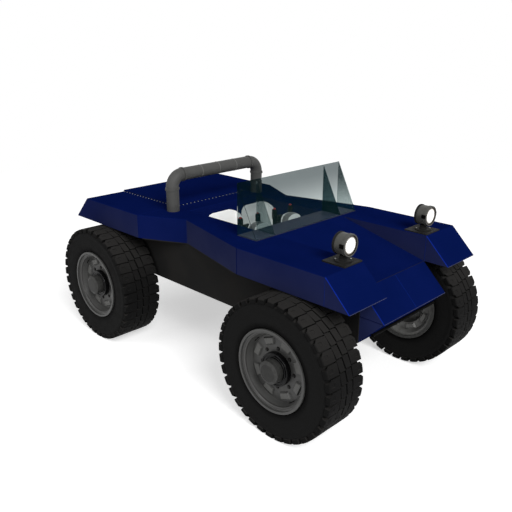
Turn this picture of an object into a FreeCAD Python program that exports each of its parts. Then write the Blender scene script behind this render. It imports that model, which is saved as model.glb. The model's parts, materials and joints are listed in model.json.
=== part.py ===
import FreeCAD, Part
import os
import re
import Sketcher

# Dune buggy: a faceted fibreglass body over a black tub, on four large off-road wheels.
# Frame: origin on the ground midway between the axles, +X forward, +Y left, +Z up, millimetres.

# name, value, what it is
SIZES = (
    ("wheelbase", 2200, "front axle to rear axle"),
    ("track", 1600, "centre plane to centre plane of the wheels on one axle"),
    ("tyre_radius", 515, "tread radius"),
    ("tyre_width", 356, "section width of the tyre"),
    ("rim_radius", 302, "radius of the rim's flanges"),
    ("arch_clearance", 5, "top of the tyre to the lower edge of the side band"),
    ("body_width", 1600, "over the fenders and the rear deck"),
    ("waist_width", 1200, "over the notch beside the seats"),
    ("centre_width", 800, "hood, cockpit opening and engine cover"),
    ("band_depth", 200, "height of the side band under the deck"),
    ("tub_depth", 400, "tub below the side band"),
    ("tub_gap", 22, "inner face of a rear tyre to the tub's side"),
    ("lip_gap", 12, "arch in the inner wing over the lower edge of the side band"),
    ("panel", 10, "body panel thickness"),
    ("edge_break", 4, "chamfer along the body panels' outer edges"),
    ("tub_wall", 8, "tub and bay wall thickness"),
    ("tail_x", -1400, "rear edge of the deck"),
    ("tail_slope", 200, "how far the tail panel runs out below the deck"),
    ("shoulder_x", -600, "where the deck starts to narrow"),
    ("waist_x", -200, "narrowest point of the deck"),
    ("cowl_x", 600, "where the deck is wide again and the hood starts"),
    ("fender_x", 1400, "front edge of the flat fender tops"),
    ("nose_run", 200, "how far the sloped front panels reach forward"),
    ("hood_fall", 200, "drop of the hood from the cowl to the nose"),
    ("nose_fall", 200, "drop of the sloped nose panel"),
    ("cockpit_rear_x", -400, "rear edge of the cockpit opening"),
    ("cockpit_front_x", 400, "front edge of the cockpit opening"),
    ("tub_rear_x", -640, "rear wall of the tub"),
    ("tub_front_x", 500, "front wall of the tub"),
    ("flange_end", 570, "half length of the tub's rim flange"),
    ("rear_bay_x", -1500, "rear wall of the engine bay"),
    ("cover_lip", 60, "deck left under the edge of the engine cover"),
    ("cover_thickness", 12, "engine cover plate, also its hinge barrel's diameter"),
    ("lid_gap", 0.5, "engine cover above the deck"),
    ("hinge_pin_radius", 3, "pin of the cover hinge"),
    ("hinge_clearance", 0.3, "pin to barrel bore"),
    ("hinge_side_gap", 1, "barrel end to hinge lug"),
    ("hinge_lug", 12, "thickness of a hinge lug"),
    ("hinge_pin_reach", 26, "how far a pin enters the barrel"),
    ("engine_length", 480, "engine block along X"),
    ("engine_width", 560, "engine block along Y"),
    ("engine_height", 330, "engine block along Z"),
    ("engine_x", -1090, "middle of the engine block"),
    ("roll_x", -500, "roll bar plane"),
    ("roll_width", 1000, "between the roll bar's legs"),
    ("roll_height", 300, "deck to the axis of the crossbar"),
    ("roll_radius", 54, "roll bar tube radius"),
    ("roll_bend", 100, "bend radius of the tube's axis"),
    ("collar_radius", 60, "joint rings on the roll bar"),
    ("collar_length", 14, "length of a joint ring"),
    ("screen_width", 1200, "windscreen"),
    ("screen_height", 400, "deck to the windscreen's top edge"),
    ("screen_run", 200, "rake of the windscreen along X"),
    ("screen_base", 4, "sill plate under the glass"),
    ("glass", 6, "pane thickness"),
    ("seat_pitch", 400, "between the seats' middles"),
    ("seat_width", 330, "seat shell"),
    ("seat_back_x", -100, "foot of the backrest's front face"),
    ("seat_recline", 90, "how far the backrest leans back"),
    ("seat_length", 260, "pan ahead of the backrest"),
    ("seat_pan", 150, "pan height above the floor"),
    ("seat_back", 580, "top of the backrest above the floor"),
    ("seat_shell", 40, "thickness of the backrest shell"),
    ("seat_wing", 34, "width of a side bolster"),
    ("seat_wing_rise", 70, "height of a side bolster"),
    ("seat_corner", 70, "rounding of the backrest's top corners"),
    ("pad_thickness", 55, "cushion thickness"),
    ("pad_gap", 1, "cushion to bolster"),
    ("pod_x", 225, "control pod"),
    ("pod_radius", 88, "control pod head"),
    ("pod_head", 210, "height of the pod head"),
    ("pod_stem", 45, "radius of the pod's stem"),
    ("pod_dome", 56, "height of the pod's domed top"),
    ("pod_top", 580, "top of the pod above the floor"),
    ("pod_flat", 80, "pod axis to the flat that the yoke is bolted to"),
    ("yoke_reach", 25, "flat to the yoke's crossbar"),
    ("yoke_spread", 200, "between the two grips"),
    ("yoke_drop", 100, "crossbar below the pod's top"),
    ("yoke_bar", 11, "radius of the crossbar"),
    ("grip_radius", 15, "radius of a grip"),
    ("grip_height", 130, "height of a grip"),
    ("yoke_hub", 90, "width of the pad between the grips"),
    ("yoke_hub_height", 70, "height of the pad between the grips"),
    ("yoke_hub_depth", 30, "thickness of the pad between the grips"),
    ("lamp_plate", 190, "side of the square lamp base plate"),
    ("lamp_plate_thickness", 10, "lamp base plate"),
    ("lamp_height", 122, "deck to the lamp's axis"),
    ("lamp_radius", 88, "lamp bezel"),
    ("lamp_length", 108, "lamp housing"),
    ("lamp_back", 86, "rear band of the lamp housing"),
    ("lamp_ring", 16, "width of the rear band and of the bezel"),
    ("lamp_shell", 5, "lamp housing wall and the bezel's step"),
    ("lens_thickness", 10, "lamp lens"),
    ("lens_gap", 0.3, "lens to housing"),
    ("stalk_radius", 14, "lamp stalk"),
    ("kingpin_spread", 1400, "between the kingpin axes"),
    ("kingpin_radius", 20, "kingpin"),
    ("kingpin_clearance", 0.5, "kingpin to its sleeve"),
    ("sleeve_radius", 38, "kingpin sleeve on the axle"),
    ("sleeve_half", 60, "half height of the sleeve"),
    ("fork_gap", 5, "sleeve end to the knuckle's fork"),
    ("fork_plate", 22, "thickness of the knuckle's fork"),
    ("fork_reach", 46, "kingpin axis to the knuckle's web"),
    ("web_thickness", 20, "web of the knuckle"),
    ("backing_radius", 232, "brake backing plate"),
    ("backing_thickness", 6, "brake backing plate"),
    ("drum_radius", 150, "brake drum"),
    ("drum_width", 40, "brake drum"),
    ("spindle_radius", 31, "wheel spindle"),
    ("spindle_clearance", 0.5, "spindle to hub bore"),
    ("spindle_end", 136, "wheel's centre plane to the spindle's end"),
    ("steering_arm", 150, "length of the steering arm"),
    ("beam_radius", 36, "axle beam tube"),
    ("damper_spread", 500, "between the two dampers of an axle"),
    ("damper_radius", 20, "damper body"),
    ("spring_seat_radius", 48, "spring seats on a damper"),
    ("spring_seat", 8, "thickness of a spring seat"),
    ("arm_spread", 660, "between the radius arms of an axle"),
    ("arm_thickness", 24, "radius arm across Y"),
    ("arm_height", 44, "radius arm at the axle"),
    ("arm_run", 380, "axle to the foot of a radius arm"),
    ("arm_foot", 70, "length of the foot under the floor"),
    ("diff_radius", 105, "differential housing"),
    ("diff_width", 180, "differential housing along Y"),
    ("flange_face", 172, "wheel's centre plane to the rim's outer flange"),
    ("flange_width", 14, "rim flange"),
    ("rim_drop", 12, "flange height above the bead seat"),
    ("rim_wall", 10, "barrel thickness"),
    ("disc_face", 92, "wheel's centre plane to the wheel disc's face"),
    ("disc_thickness", 12, "wheel disc"),
    ("hub_radius", 120, "raised ring round the hub cap"),
    ("hub_face", 125, "face of the raised ring"),
    ("cap_radius", 80, "hub cap"),
    ("cap_face", 197, "wheel's centre plane to the hub cap's face"),
    ("cap_chamfer", 22, "hub cap's edge"),
    ("step_radius", 272, "second step inside the outer flange"),
    ("step_depth", 12, "depth of the groove between flange and step"),
    ("dish_radius", 238, "outer edge of the wheel disc"),
    ("boss_radius", 60, "hub boss behind the disc"),
    ("boss_face", 25, "inner end of the hub boss"),
    ("rib_count", 8, "stamped ribs on the wheel disc"),
    ("rib_inner", 172, "inner radius of a rib"),
    ("rib_outer", 230, "outer radius of a rib"),
    ("rib_angle", 27, "rib's width in degrees, at its foot"),
    ("rib_height", 14, "how far a rib stands out of the disc"),
    ("rib_bevel", 9, "run of a rib's sloped ends"),
    ("rib_bevel_angle", 2.5, "run of a rib's sloped sides, in degrees"),
    ("nut_circle", 146, "radius of the wheel nut circle"),
    ("nut_hole", 15, "radius of a nut recess"),
    ("nut_depth", 7, "depth of a nut recess"),
    ("bead_gap", 0.3, "tyre to rim"),
    ("tyre_wall", 24, "carcass thickness"),
    ("tyre_lip", 4, "bead's outer edge over the rim's flange"),
    ("sidewall_inset", 6, "middle of the sidewall inside the tyre's widest point"),
    ("shoulder_width", 28, "bevel of the tyre's shoulder, across"),
    ("shoulder_height", 34, "bevel of the tyre's shoulder, in radius"),
)

# values that follow from the sizes above
DERIVED = {
    "band_z": "2 * tyre_radius + arch_clearance",
    "deck_z": "band_z + band_depth",
    "tub_z": "band_z - tub_depth",
    "floor_z": "tub_z + tub_wall",
    "body_half": "body_width / 2",
    "waist_half": "waist_width / 2",
    "centre_half": "centre_width / 2",
    "tub_half": "track / 2 - tyre_width / 2 - tub_gap",
    "bay_half": "centre_half + panel",
    "screen_half": "screen_width / 2",
    "front_axle_x": "wheelbase / 2",
    "rear_axle_x": "-wheelbase / 2",
    "axle_z": "tyre_radius",
    "wheel_y": "track / 2",
    "kingpin_y": "kingpin_spread / 2",
    "nose_x": "fender_x + nose_run",
    "hood_end_z": "deck_z - hood_fall",
    "nose_z": "hood_end_z - nose_fall",
    "cover_z": "deck_z + lid_gap",
    "hinge_x": "shoulder_x - cover_thickness / 2",
    "hinge_z": "cover_z + cover_thickness / 2",
    "sill_z": "deck_z + screen_base",
    "screen_top": "deck_z + screen_height",
    "glass_run": "glass * sqrt(screen_height ^ 2 + screen_run ^ 2) / screen_height",
    "glass_rise": "glass_run * (screen_height - screen_base) / screen_run",
    "screen_front_x": "cockpit_front_x + screen_run",
    "seat_y": "seat_pitch / 2",
    "pan_z": "floor_z + seat_pan",
    "back_z": "floor_z + seat_back",
    "pod_z": "floor_z + pod_top",
    "yoke_x": "pod_x - pod_flat - yoke_reach",
    "yoke_z": "pod_z - yoke_drop",
    "lamp_x": "fender_x - lamp_plate / 2 - panel / 2",
    "lamp_y": "(centre_half + body_half) / 2 - lamp_plate / 2 - panel / 2",
    "lamp_z": "deck_z + lamp_height",
    "bead_radius": "rim_radius - rim_drop",
    "barrel_radius": "bead_radius - rim_wall",
    "bead_half": "flange_face - flange_width",
    "tyre_half": "tyre_width / 2",
    "sidewall_radius": "(rim_radius + tyre_radius) / 2",
    "lip_radius": "barrel_radius + rim_wall / 2",
    "arch_radius": "tyre_radius + arch_clearance + lip_gap",
    "web_y": "kingpin_y + fork_reach",
    "plate_y": "web_y + web_thickness",
    "fork_top": "axle_z + sleeve_half + fork_gap",
    "fork_bottom": "axle_z - sleeve_half - fork_gap",
}

NAMES = {name for name, value, note in SIZES}

doc = FreeCAD.newDocument("dune_buggy")
sheet = doc.addObject("Spreadsheet::Sheet", "sizes")
for row, (name, value, note) in enumerate(SIZES, start=1):
    sheet.set(f"A{row}", name)
    sheet.set(f"B{row}", str(value))
    sheet.set(f"C{row}", note)
    sheet.setAlias(f"B{row}", name)
doc.recompute()


def expand(text):
    """Turn a formula in plain words into an expression on the spreadsheet's cells."""
    def swap(match):
        word = match.group(0)
        if word in DERIVED:
            return "(" + expand(DERIVED[word]) + ")"
        return "sizes." + word if word in NAMES else word
    return re.sub(r"[a-z_]+", swap, text)


def number(text):
    """The value of a formula."""
    return float(sheet.evalExpression(expand(text)))


def new_body(label):
    body = doc.addObject("PartDesign::Body", label)
    body.Label = label
    return body


def origin_feature(body, role):
    return [item for item in body.Origin.OriginFeatures if item.Role == role][0]


def new_sketch(body, plane, offset):
    """An empty sketch, parallel to one of the body's own planes, at a bound offset."""
    sketch = body.newObject("Sketcher::SketchObject", body.Name + "_sketch")
    sketch.AttachmentSupport = [(origin_feature(body, plane + "_Plane"), "")]
    sketch.MapMode = "FlatFace"
    sketch.setExpression("AttachmentOffset.Base.z", expand(offset))
    return sketch


def pin_point(sketch, curve, end, across, up):
    """Hold one point of a curve at two formulas."""
    for kind, formula in (("DistanceX", across), ("DistanceY", up)):
        index = sketch.addConstraint(Sketcher.Constraint(kind, curve, end, number(formula)))
        sketch.setExpression(f"Constraints[{index}]", expand(formula))


def add_outline(sketch, points):
    """A closed outline of straight edges through points given as pairs of formulas."""
    first = sketch.GeometryCount
    places = [FreeCAD.Vector(number(across), number(up), 0) for across, up in points]
    for start, end in zip(places, places[1:] + places[:1]):
        sketch.addGeometry(Part.LineSegment(start, end))
    count = len(points)
    for step in range(count):
        after = first + (step + 1) % count
        sketch.addConstraint(Sketcher.Constraint("Coincident", first + step, 2, after, 1))
    for step, (across, up) in enumerate(points):
        pin_point(sketch, first + step, 1, across, up)


def add_circle(sketch, across, up, radius):
    place = FreeCAD.Vector(number(across), number(up), 0)
    curve = sketch.addGeometry(Part.Circle(place, FreeCAD.Vector(0, 0, 1), number(radius)))
    pin_point(sketch, curve, 3, across, up)
    index = sketch.addConstraint(Sketcher.Constraint("Radius", curve, number(radius)))
    sketch.setExpression(f"Constraints[{index}]", expand(radius))


def add_axis(sketch, across, up):
    """A construction line along the sketch's first direction, to turn about."""
    start, end = f"{across} - 1", f"{across} + 1"
    line = sketch.addGeometry(Part.LineSegment(FreeCAD.Vector(number(start), number(up), 0),
                                               FreeCAD.Vector(number(end), number(up), 0)), True)
    pin_point(sketch, line, 1, start, up)
    pin_point(sketch, line, 2, end, up)


def extrude(body, plane, low, high, draw, cut=False):
    """Pad or pocket between two heights along the plane's row axis; draw fills the sketch."""
    sketch = new_sketch(body, plane, f"-({high})" if plane == "XZ" else low)
    draw(sketch)
    kind = "Pocket" if cut else "Pad"
    feature = body.newObject("PartDesign::" + kind, body.Name + "_" + kind.lower())
    feature.Profile = (sketch, [""])
    feature.setExpression("Length", expand(f"({high}) - ({low})"))
    feature.Reversed = cut
    sketch.Visibility = False
    return feature


def prism(body, plane, low, high, points, cut=False):
    return extrude(body, plane, low, high, lambda sketch: add_outline(sketch, points), cut)


def rod(body, plane, low, high, across, up, radius, cut=False):
    return extrude(body, plane, low, high, lambda sketch: add_circle(sketch, across, up, radius), cut)


def block(body, x_span, y_span, z_span, cut=False):
    """A box between pairs of formulas."""
    corners = [(x_span[0], y_span[0]), (x_span[1], y_span[0]), (x_span[1], y_span[1]), (x_span[0], y_span[1])]
    return prism(body, "XY", z_span[0], z_span[1], corners, cut)


def turn(body, axis, points):
    """A solid of revolution about an origin axis; points are (along the axis, radius)."""
    plane, line = {"Y": ("YZ", "Y_Axis"), "X": ("XZ", "X_Axis"), "Z": ("XZ", "Z_Axis")}[axis]
    sketch = new_sketch(body, plane, "0")
    if axis == "Z":
        points = [(radius, along) for along, radius in points]
    add_outline(sketch, points)
    feature = body.newObject("PartDesign::Revolution", body.Name + "_turn")
    feature.Profile = (sketch, [""])
    feature.ReferenceAxis = (origin_feature(body, line), [""])
    feature.Angle = 360
    sketch.Visibility = False
    return feature


def hollow(body, side, wall):
    """Shell the body to a wall thickness, open on its flat face that lies furthest along side."""
    doc.recompute()
    solid = body.Tip
    flat = [(face.CenterOfMass.dot(side), index) for index, face in enumerate(solid.Shape.Faces, start=1)
            if abs(face.normalAt(0, 0).dot(side)) > 0.999]
    feature = body.newObject("PartDesign::Thickness", body.Name + "_shell")
    feature.Base = (solid, [f"Face{max(flat)[1]}"])
    feature.setExpression("Value", expand(wall))
    feature.Reversed = True
    feature.Join = "Intersection"
    return feature


def break_edges(body, before, chosen):
    """Chamfer the edges that the unshelled solid already had and that chosen accepts."""
    doc.recompute()
    ends = {ends_of(edge) for edge in before.Edges}
    solid = body.Tip
    names = [f"Edge{index}" for index, edge in enumerate(solid.Shape.Edges, start=1)
             if ends_of(edge) in ends and chosen(edge.BoundBox)]
    feature = body.newObject("PartDesign::Chamfer", body.Name + "_edges")
    feature.Base = (solid, names)
    feature.setExpression("Size", expand("edge_break"))
    return feature


def ends_of(edge):
    """The two ends of an edge, in a form that can be compared."""
    return frozenset((round(point.x, 2), round(point.y, 2), round(point.z, 2))
                     for point in (edge.Vertexes[0].Point, edge.Vertexes[-1].Point))


def above_band(box):
    """Every edge but those along the open underside."""
    return box.ZMax > number("band_z") + 1


def loft(body, plane, levels, outlines):
    """An additive loft between outlines drawn at offsets from one of the body's planes."""
    sketches = []
    for level, points in zip(levels, outlines):
        sketch = new_sketch(body, plane, level)
        add_outline(sketch, points)
        sketch.Visibility = False
        sketches.append(sketch)
    feature = body.newObject("PartDesign::AdditiveLoft", body.Name + "_loft")
    feature.Profile = (sketches[0], [""])
    feature.Sections = [(sketch, [""]) for sketch in sketches[1:]]
    feature.Ruled = True
    return feature


def repeat_round(body, features, count):
    """Copy features round the body's Y axis."""
    pattern = body.newObject("PartDesign::PolarPattern", body.Name + "_pattern")
    pattern.Originals = features
    pattern.Axis = (origin_feature(body, "Y_Axis"), [""])
    pattern.Angle = 360
    pattern.setExpression("Occurrences", expand(count))
    body.Tip = pattern
    return pattern


def place(body, across, along, up, half_turn=False):
    if half_turn:
        body.Placement = FreeCAD.Placement(FreeCAD.Vector(), FreeCAD.Rotation(FreeCAD.Vector(0, 0, 1), 180))
    for axis, formula in (("x", across), ("y", along), ("z", up)):
        body.setExpression("Placement.Base." + axis, expand(formula))


DOWN = FreeCAD.Vector(0, 0, -1)
UP = FreeCAD.Vector(0, 0, 1)
BACK = FreeCAD.Vector(-1, 0, 0)
SIDES = (("left", ""), ("right", "-"))


def signed(sign, formula):
    return f"{sign}({formula})"


def span(sign, inner, outer):
    """A (low, high) pair across Y for a piece on one side."""
    return (f"({inner})", f"({outer})") if sign == "" else (f"-({outer})", f"-({inner})")


# ---------------------------------------------------------------- body panels

def make_tail():
    """Rear deck with its side bands and sloped tail panel, and the engine bay's upper walls."""
    body = new_body("rear_deck")
    profile = [("tail_x", "deck_z"), ("shoulder_x", "deck_z"), ("shoulder_x", "band_z"),
               ("tail_x - tail_slope", "band_z")]
    solid = prism(body, "XZ", "-body_half", "body_half", profile)
    hollow(body, DOWN, "panel")
    break_edges(body, solid.Shape, above_band)
    for name, sign in SIDES:
        block(body, ("tail_x + panel", "shoulder_x - panel / 2"), span(sign, "centre_half", "bay_half"),
              ("band_z", "deck_z - panel / 2"))
    block(body, ("tail_x + cover_lip", "shoulder_x - cover_lip"),
          ("-centre_half + cover_lip", "centre_half - cover_lip"), ("deck_z - 2 * panel", "deck_z + panel"), True)


def make_side_deck(name, sign):
    """Deck, notched side band and cockpit wall on one side."""
    body = new_body(name + "_side_deck")
    outline = [("shoulder_x", "body_half"), ("waist_x", "waist_half"), ("cowl_x", "body_half"),
               ("cowl_x", "centre_half"), ("shoulder_x", "centre_half")]
    solid = prism(body, "XY", "band_z", "deck_z", [(along, signed(sign, across)) for along, across in outline])
    hollow(body, DOWN, "panel")
    break_edges(body, solid.Shape, above_band)


def make_cross_deck(name, rear, front):
    """Deck between the two side decks, behind or ahead of the cockpit opening."""
    body = new_body(name)
    solid = block(body, (rear, front), ("-centre_half", "centre_half"), ("band_z", "deck_z"))
    hollow(body, DOWN, "panel")
    break_edges(body, solid.Shape, lambda box: box.ZMin > number("deck_z") - 1)


def make_fender(name, sign):
    body = new_body(name + "_fender")
    profile = [("cowl_x", "deck_z"), ("fender_x", "deck_z"), ("nose_x", "band_z"), ("cowl_x", "band_z")]
    solid = prism(body, "XZ", *span(sign, "centre_half", "body_half"), profile)
    hollow(body, DOWN, "panel")
    break_edges(body, solid.Shape, above_band)


def make_hood():
    body = new_body("hood")
    profile = [("cowl_x", "deck_z"), ("fender_x", "hood_end_z"),
               ("fender_x - panel * (fender_x - cowl_x) / hood_fall", "hood_end_z"), ("cowl_x", "deck_z - panel")]
    solid = prism(body, "XZ", "-centre_half", "centre_half", profile)
    doc.recompute()
    break_edges(body, solid.Shape, lambda box: box.XLength < 1 and box.ZLength < 1
                and (box.XMin > number("fender_x") - 1 or box.ZMin > number("deck_z") - 1))


def make_nose():
    body = new_body("nose_panel")
    profile = [("fender_x", "hood_end_z"), ("nose_x", "nose_z"), ("fender_x", "tub_z")]
    solid = prism(body, "XZ", "-centre_half", "centre_half", profile)
    hollow(body, BACK, "panel")
    break_edges(body, solid.Shape, lambda box: box.XMax > number("fender_x") + 1)


def make_tub():
    """Open tub under the cockpit, with the flange that closes the side decks from below and the inner wings."""
    body = new_body("cockpit_tub")
    block(body, ("tub_rear_x", "tub_front_x"), ("-tub_half", "tub_half"), ("tub_z", "band_z"))
    rear_y = "body_half - (body_half - waist_half) * (-flange_end - shoulder_x) / (waist_x - shoulder_x)"
    front_y = "body_half - (body_half - waist_half) * (cowl_x - flange_end) / (cowl_x - waist_x)"
    outline = [("-flange_end", rear_y), ("waist_x", "waist_half"), ("flange_end", front_y)]
    outline += [(along, signed("-", across)) for along, across in reversed(outline)]
    prism(body, "XY", "band_z - tub_wall", "band_z", outline)
    block(body, ("tub_front_x", "flange_end + tub_wall"), ("-bay_half", "bay_half"),
          ("tub_z", "band_z + tub_wall"), True)
    block(body, ("tub_rear_x + tub_wall", "tub_front_x - tub_wall"),
          ("-tub_half + tub_wall", "tub_half - tub_wall"), ("floor_z", "band_z + tub_wall"), True)
    for name, sign in SIDES:
        block(body, ("tub_front_x - tub_wall", "front_axle_x"), span(sign, "tub_half - tub_wall", "tub_half"),
              ("tub_z", "band_z"))
        rod(body, "XZ", *span(sign, "tub_half - 2 * tub_wall", "tub_half + tub_wall"), "front_axle_x", "axle_z",
            "arch_radius", True)


def make_bay(name, rear, front, half):
    """Open black bay ahead of or behind the tub."""
    body = new_body(name)
    block(body, (rear, front), (f"-({half})", half), ("tub_z", "band_z"))
    hollow(body, UP, "tub_wall")


def make_engine():
    body = new_body("engine_block")
    block(body, ("engine_x - engine_length / 2", "engine_x + engine_length / 2"),
          ("-engine_width / 2", "engine_width / 2"), ("floor_z", "floor_z + engine_height"))


def make_cover():
    """Engine cover plate with a hinge barrel along its front edge."""
    body = new_body("engine_cover")
    block(body, ("tail_x", "hinge_x"), ("-centre_half", "centre_half"), ("cover_z", "cover_z + cover_thickness"))
    rod(body, "XZ", "-centre_half", "centre_half", "hinge_x", "hinge_z", "cover_thickness / 2")
    rod(body, "XZ", "-centre_half", "centre_half", "hinge_x", "hinge_z",
        "hinge_pin_radius + hinge_clearance", True)


def make_hinges():
    """One lug and pin at each end of the cover's barrel."""
    body = new_body("cover_hinges")
    inner = "centre_half + hinge_side_gap"
    for name, sign in SIDES:
        block(body, ("hinge_x - cover_thickness", "hinge_x + cover_thickness"),
              span(sign, inner, inner + " + hinge_lug"), ("deck_z", "hinge_z + cover_thickness / 2"))
        rod(body, "XZ", *span(sign, "centre_half - hinge_pin_reach", inner), "hinge_x", "hinge_z",
            "hinge_pin_radius")


# ---------------------------------------------------------------- roll bar and windscreen

def make_roll_bar():
    """Two legs and a crossbar in one bent tube, with joint rings."""
    body = new_body("roll_bar")
    bend_z, bar_z = "deck_z + roll_height - roll_bend", "deck_z + roll_height"
    bend_y = "roll_width / 2 - roll_bend"
    rod(body, "XZ", f"-({bend_y})", bend_y, "roll_x", bar_z, "roll_radius")
    for name, sign in SIDES:
        leg_y = signed(sign, "roll_width / 2")
        bend = new_sketch(body, "XY", bend_z)
        add_circle(bend, "roll_x", leg_y, "roll_radius")
        add_axis(bend, "roll_x", signed(sign, bend_y))
        elbow = body.newObject("PartDesign::Revolution", "roll_bar_elbow")
        elbow.Profile = (bend, [""])
        elbow.ReferenceAxis = (bend, ["Axis0"])
        elbow.Angle = 90
        elbow.Reversed = sign == "-"
        rod(body, "XY", "deck_z", bend_z, "roll_x", leg_y, "roll_radius")
        rod(body, "XY", bend_z + " - collar_length", bend_z, "roll_x", leg_y, "collar_radius")
        rod(body, "XZ", *span(sign, bend_y + " - collar_length", bend_y), "roll_x", bar_z, "collar_radius")


def make_windscreen():
    """Sill plate, raked front pane, two outer side panes and two inner gussets."""
    sill = new_body("windscreen_sill")
    block(sill, ("cockpit_front_x", "cowl_x"), ("-screen_half", "screen_half"), ("deck_z", "sill_z"))
    pane = new_body("windscreen_front_pane")
    profile = [("screen_front_x", "sill_z"), ("cockpit_front_x", "screen_top"),
               ("cockpit_front_x", "screen_top - glass_rise"), ("screen_front_x - glass_run", "sill_z")]
    prism(pane, "XZ", "-screen_half", "screen_half", profile)
    triangle = [("cockpit_front_x", "sill_z"), ("screen_front_x - glass_run", "sill_z"),
                ("cockpit_front_x", "screen_top - glass_rise")]
    for label, outer in (("windscreen_side_panes", "screen_half"), ("windscreen_gussets", "centre_half")):
        panes = new_body(label)
        for name, sign in SIDES:
            prism(panes, "XZ", *span(sign, outer + " - glass", outer), triangle)


# ---------------------------------------------------------------- cockpit

# shares of a corner's size, across and down, for three flats that follow a quarter circle
CORNER_FLATS = (("0", "1"), ("0.13", "0.5"), ("0.5", "0.13"), ("1", "0"))
# shares of the dome's height, down from its top, and of its radius
DOME_STEPS = (("1", "1"), ("0.45", "0.84"), ("0.12", "0.48"))


def round_top(body, side, inward):
    """Cut one top corner of a backrest."""
    corner = [(f"{side} {inward} seat_corner * {across}", f"back_z - seat_corner * {down}")
              for across, down in CORNER_FLATS]
    prism(body, "YZ", "seat_back_x - seat_recline - 2 * seat_shell", "seat_back_x + seat_length",
          corner + [(side, "back_z")], True)


def make_seat(name, sign):
    """Bucket shell with side bolsters, and the cushion that lies in it."""
    middle = signed(sign, "seat_y")
    low, high = f"{middle} - seat_width / 2", f"{middle} + seat_width / 2"
    shell = new_body(name + "_seat_shell")
    profile = [("seat_back_x + seat_length", "floor_z"), ("seat_back_x + seat_length", "pan_z"),
               ("seat_back_x", "pan_z"), ("seat_back_x - seat_recline", "back_z"),
               ("seat_back_x - seat_recline - seat_shell", "back_z"), ("seat_back_x - seat_shell", "floor_z")]
    prism(shell, "XZ", low, high, profile)
    bolster = [("seat_back_x + seat_length", "pan_z"),
               ("seat_back_x + seat_length - seat_wing_rise", "pan_z + seat_wing_rise"),
               ("seat_back_x + seat_wing_rise", "pan_z + seat_wing_rise"),
               ("seat_back_x - seat_recline + seat_wing_rise", "back_z - seat_wing_rise"),
               ("seat_back_x - seat_recline", "back_z"), ("seat_back_x", "pan_z")]
    prism(shell, "XZ", low, low + " + seat_wing", bolster)
    prism(shell, "XZ", high + " - seat_wing", high, bolster)
    round_top(shell, low, "+")
    round_top(shell, high, "-")
    pad = new_body(name + "_seat_pad")
    cushion = [("seat_back_x + seat_length", "pan_z"), ("seat_back_x + seat_length", "pan_z + pad_thickness"),
               ("seat_back_x + pad_thickness", "pan_z + pad_thickness"),
               ("seat_back_x - seat_recline + pad_thickness", "back_z"),
               ("seat_back_x - seat_recline", "back_z"), ("seat_back_x", "pan_z")]
    prism(pad, "XZ", low + " + seat_wing + pad_gap", high + " - seat_wing - pad_gap", cushion)
    round_top(pad, low, "+")
    round_top(pad, high, "-")


def make_controls(name, sign):
    """Domed control pod ahead of a seat, and the two-grip yoke bolted to its flat."""
    middle = signed(sign, "seat_y")
    pod = new_body(name + "_control_pod")
    head = "pod_top - pod_head"
    profile = [("0", "0"), ("0", "pod_stem"), (head, "pod_stem"), (head, "pod_radius")]
    profile += [(f"pod_top - pod_dome * {down}", f"pod_radius * {across}") for down, across in DOME_STEPS]
    profile += [("pod_top", "0")]
    turn(pod, "Z", profile)
    block(pod, ("-2 * pod_radius", "-pod_flat"), ("-pod_radius", "pod_radius"), (head, "pod_top - pod_dome"), True)
    place(pod, "pod_x", middle, "floor_z")
    yoke = new_body(name + "_control_yoke")
    rod(yoke, "XZ", f"{middle} - yoke_spread / 2", f"{middle} + yoke_spread / 2", "yoke_x", "yoke_z", "yoke_bar")
    rod(yoke, "YZ", "yoke_x", "pod_x - pod_flat", middle, "yoke_z", "yoke_bar")
    block(yoke, ("yoke_x - yoke_hub_depth / 2", "yoke_x + yoke_bar"),
          (f"{middle} - yoke_hub / 2", f"{middle} + yoke_hub / 2"),
          ("yoke_z - yoke_hub_height / 2", "yoke_z + yoke_hub_height / 2"))
    for hand in ("-", "+"):
        rod(yoke, "XY", "yoke_z - grip_radius", "yoke_z + grip_height", "yoke_x",
            f"{middle} {hand} yoke_spread / 2", "grip_radius")


# ---------------------------------------------------------------- lamps

def make_lamp(name, sign):
    """Square base plate with a stalk, a bowl-shaped housing and a flat lens."""
    middle = signed(sign, "lamp_y")
    base = new_body(name + "_lamp_base")
    block(base, ("lamp_x - lamp_plate / 2", "lamp_x + lamp_plate / 2"),
          (f"{middle} - lamp_plate / 2", f"{middle} + lamp_plate / 2"),
          ("deck_z", "deck_z + lamp_plate_thickness"))
    rod(base, "XY", "deck_z", "lamp_z - lamp_radius + lamp_shell", "lamp_x", middle, "stalk_radius")
    housing = new_body(name + "_lamp_housing")
    back, front, inner = "-lamp_length / 2", "lamp_length / 2", "lamp_radius - 2 * lamp_shell"
    bowl = [(back, "0"), (back, "lamp_back"), (back + " + lamp_ring", "lamp_back"),
            (back + " + lamp_ring", "lamp_radius - lamp_shell"),
            (front + " - lamp_ring", "lamp_radius - lamp_shell"), (front + " - lamp_ring", "lamp_radius"),
            (front, "lamp_radius"), (front, inner), (back + " + lamp_ring + lamp_shell", inner),
            (back + " + lamp_ring + lamp_shell", "0")]
    turn(housing, "X", bowl)
    place(housing, "lamp_x", middle, "lamp_z")


def make_lenses():
    body = new_body("lamp_lenses")
    front = "lamp_x + lamp_length / 2 - lamp_shell"
    for name, sign in SIDES:
        rod(body, "YZ", front + " - lens_thickness", front, signed(sign, "lamp_y"), "lamp_z",
            "lamp_radius - 2 * lamp_shell - lens_gap")


# ---------------------------------------------------------------- axles and wheels

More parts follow.
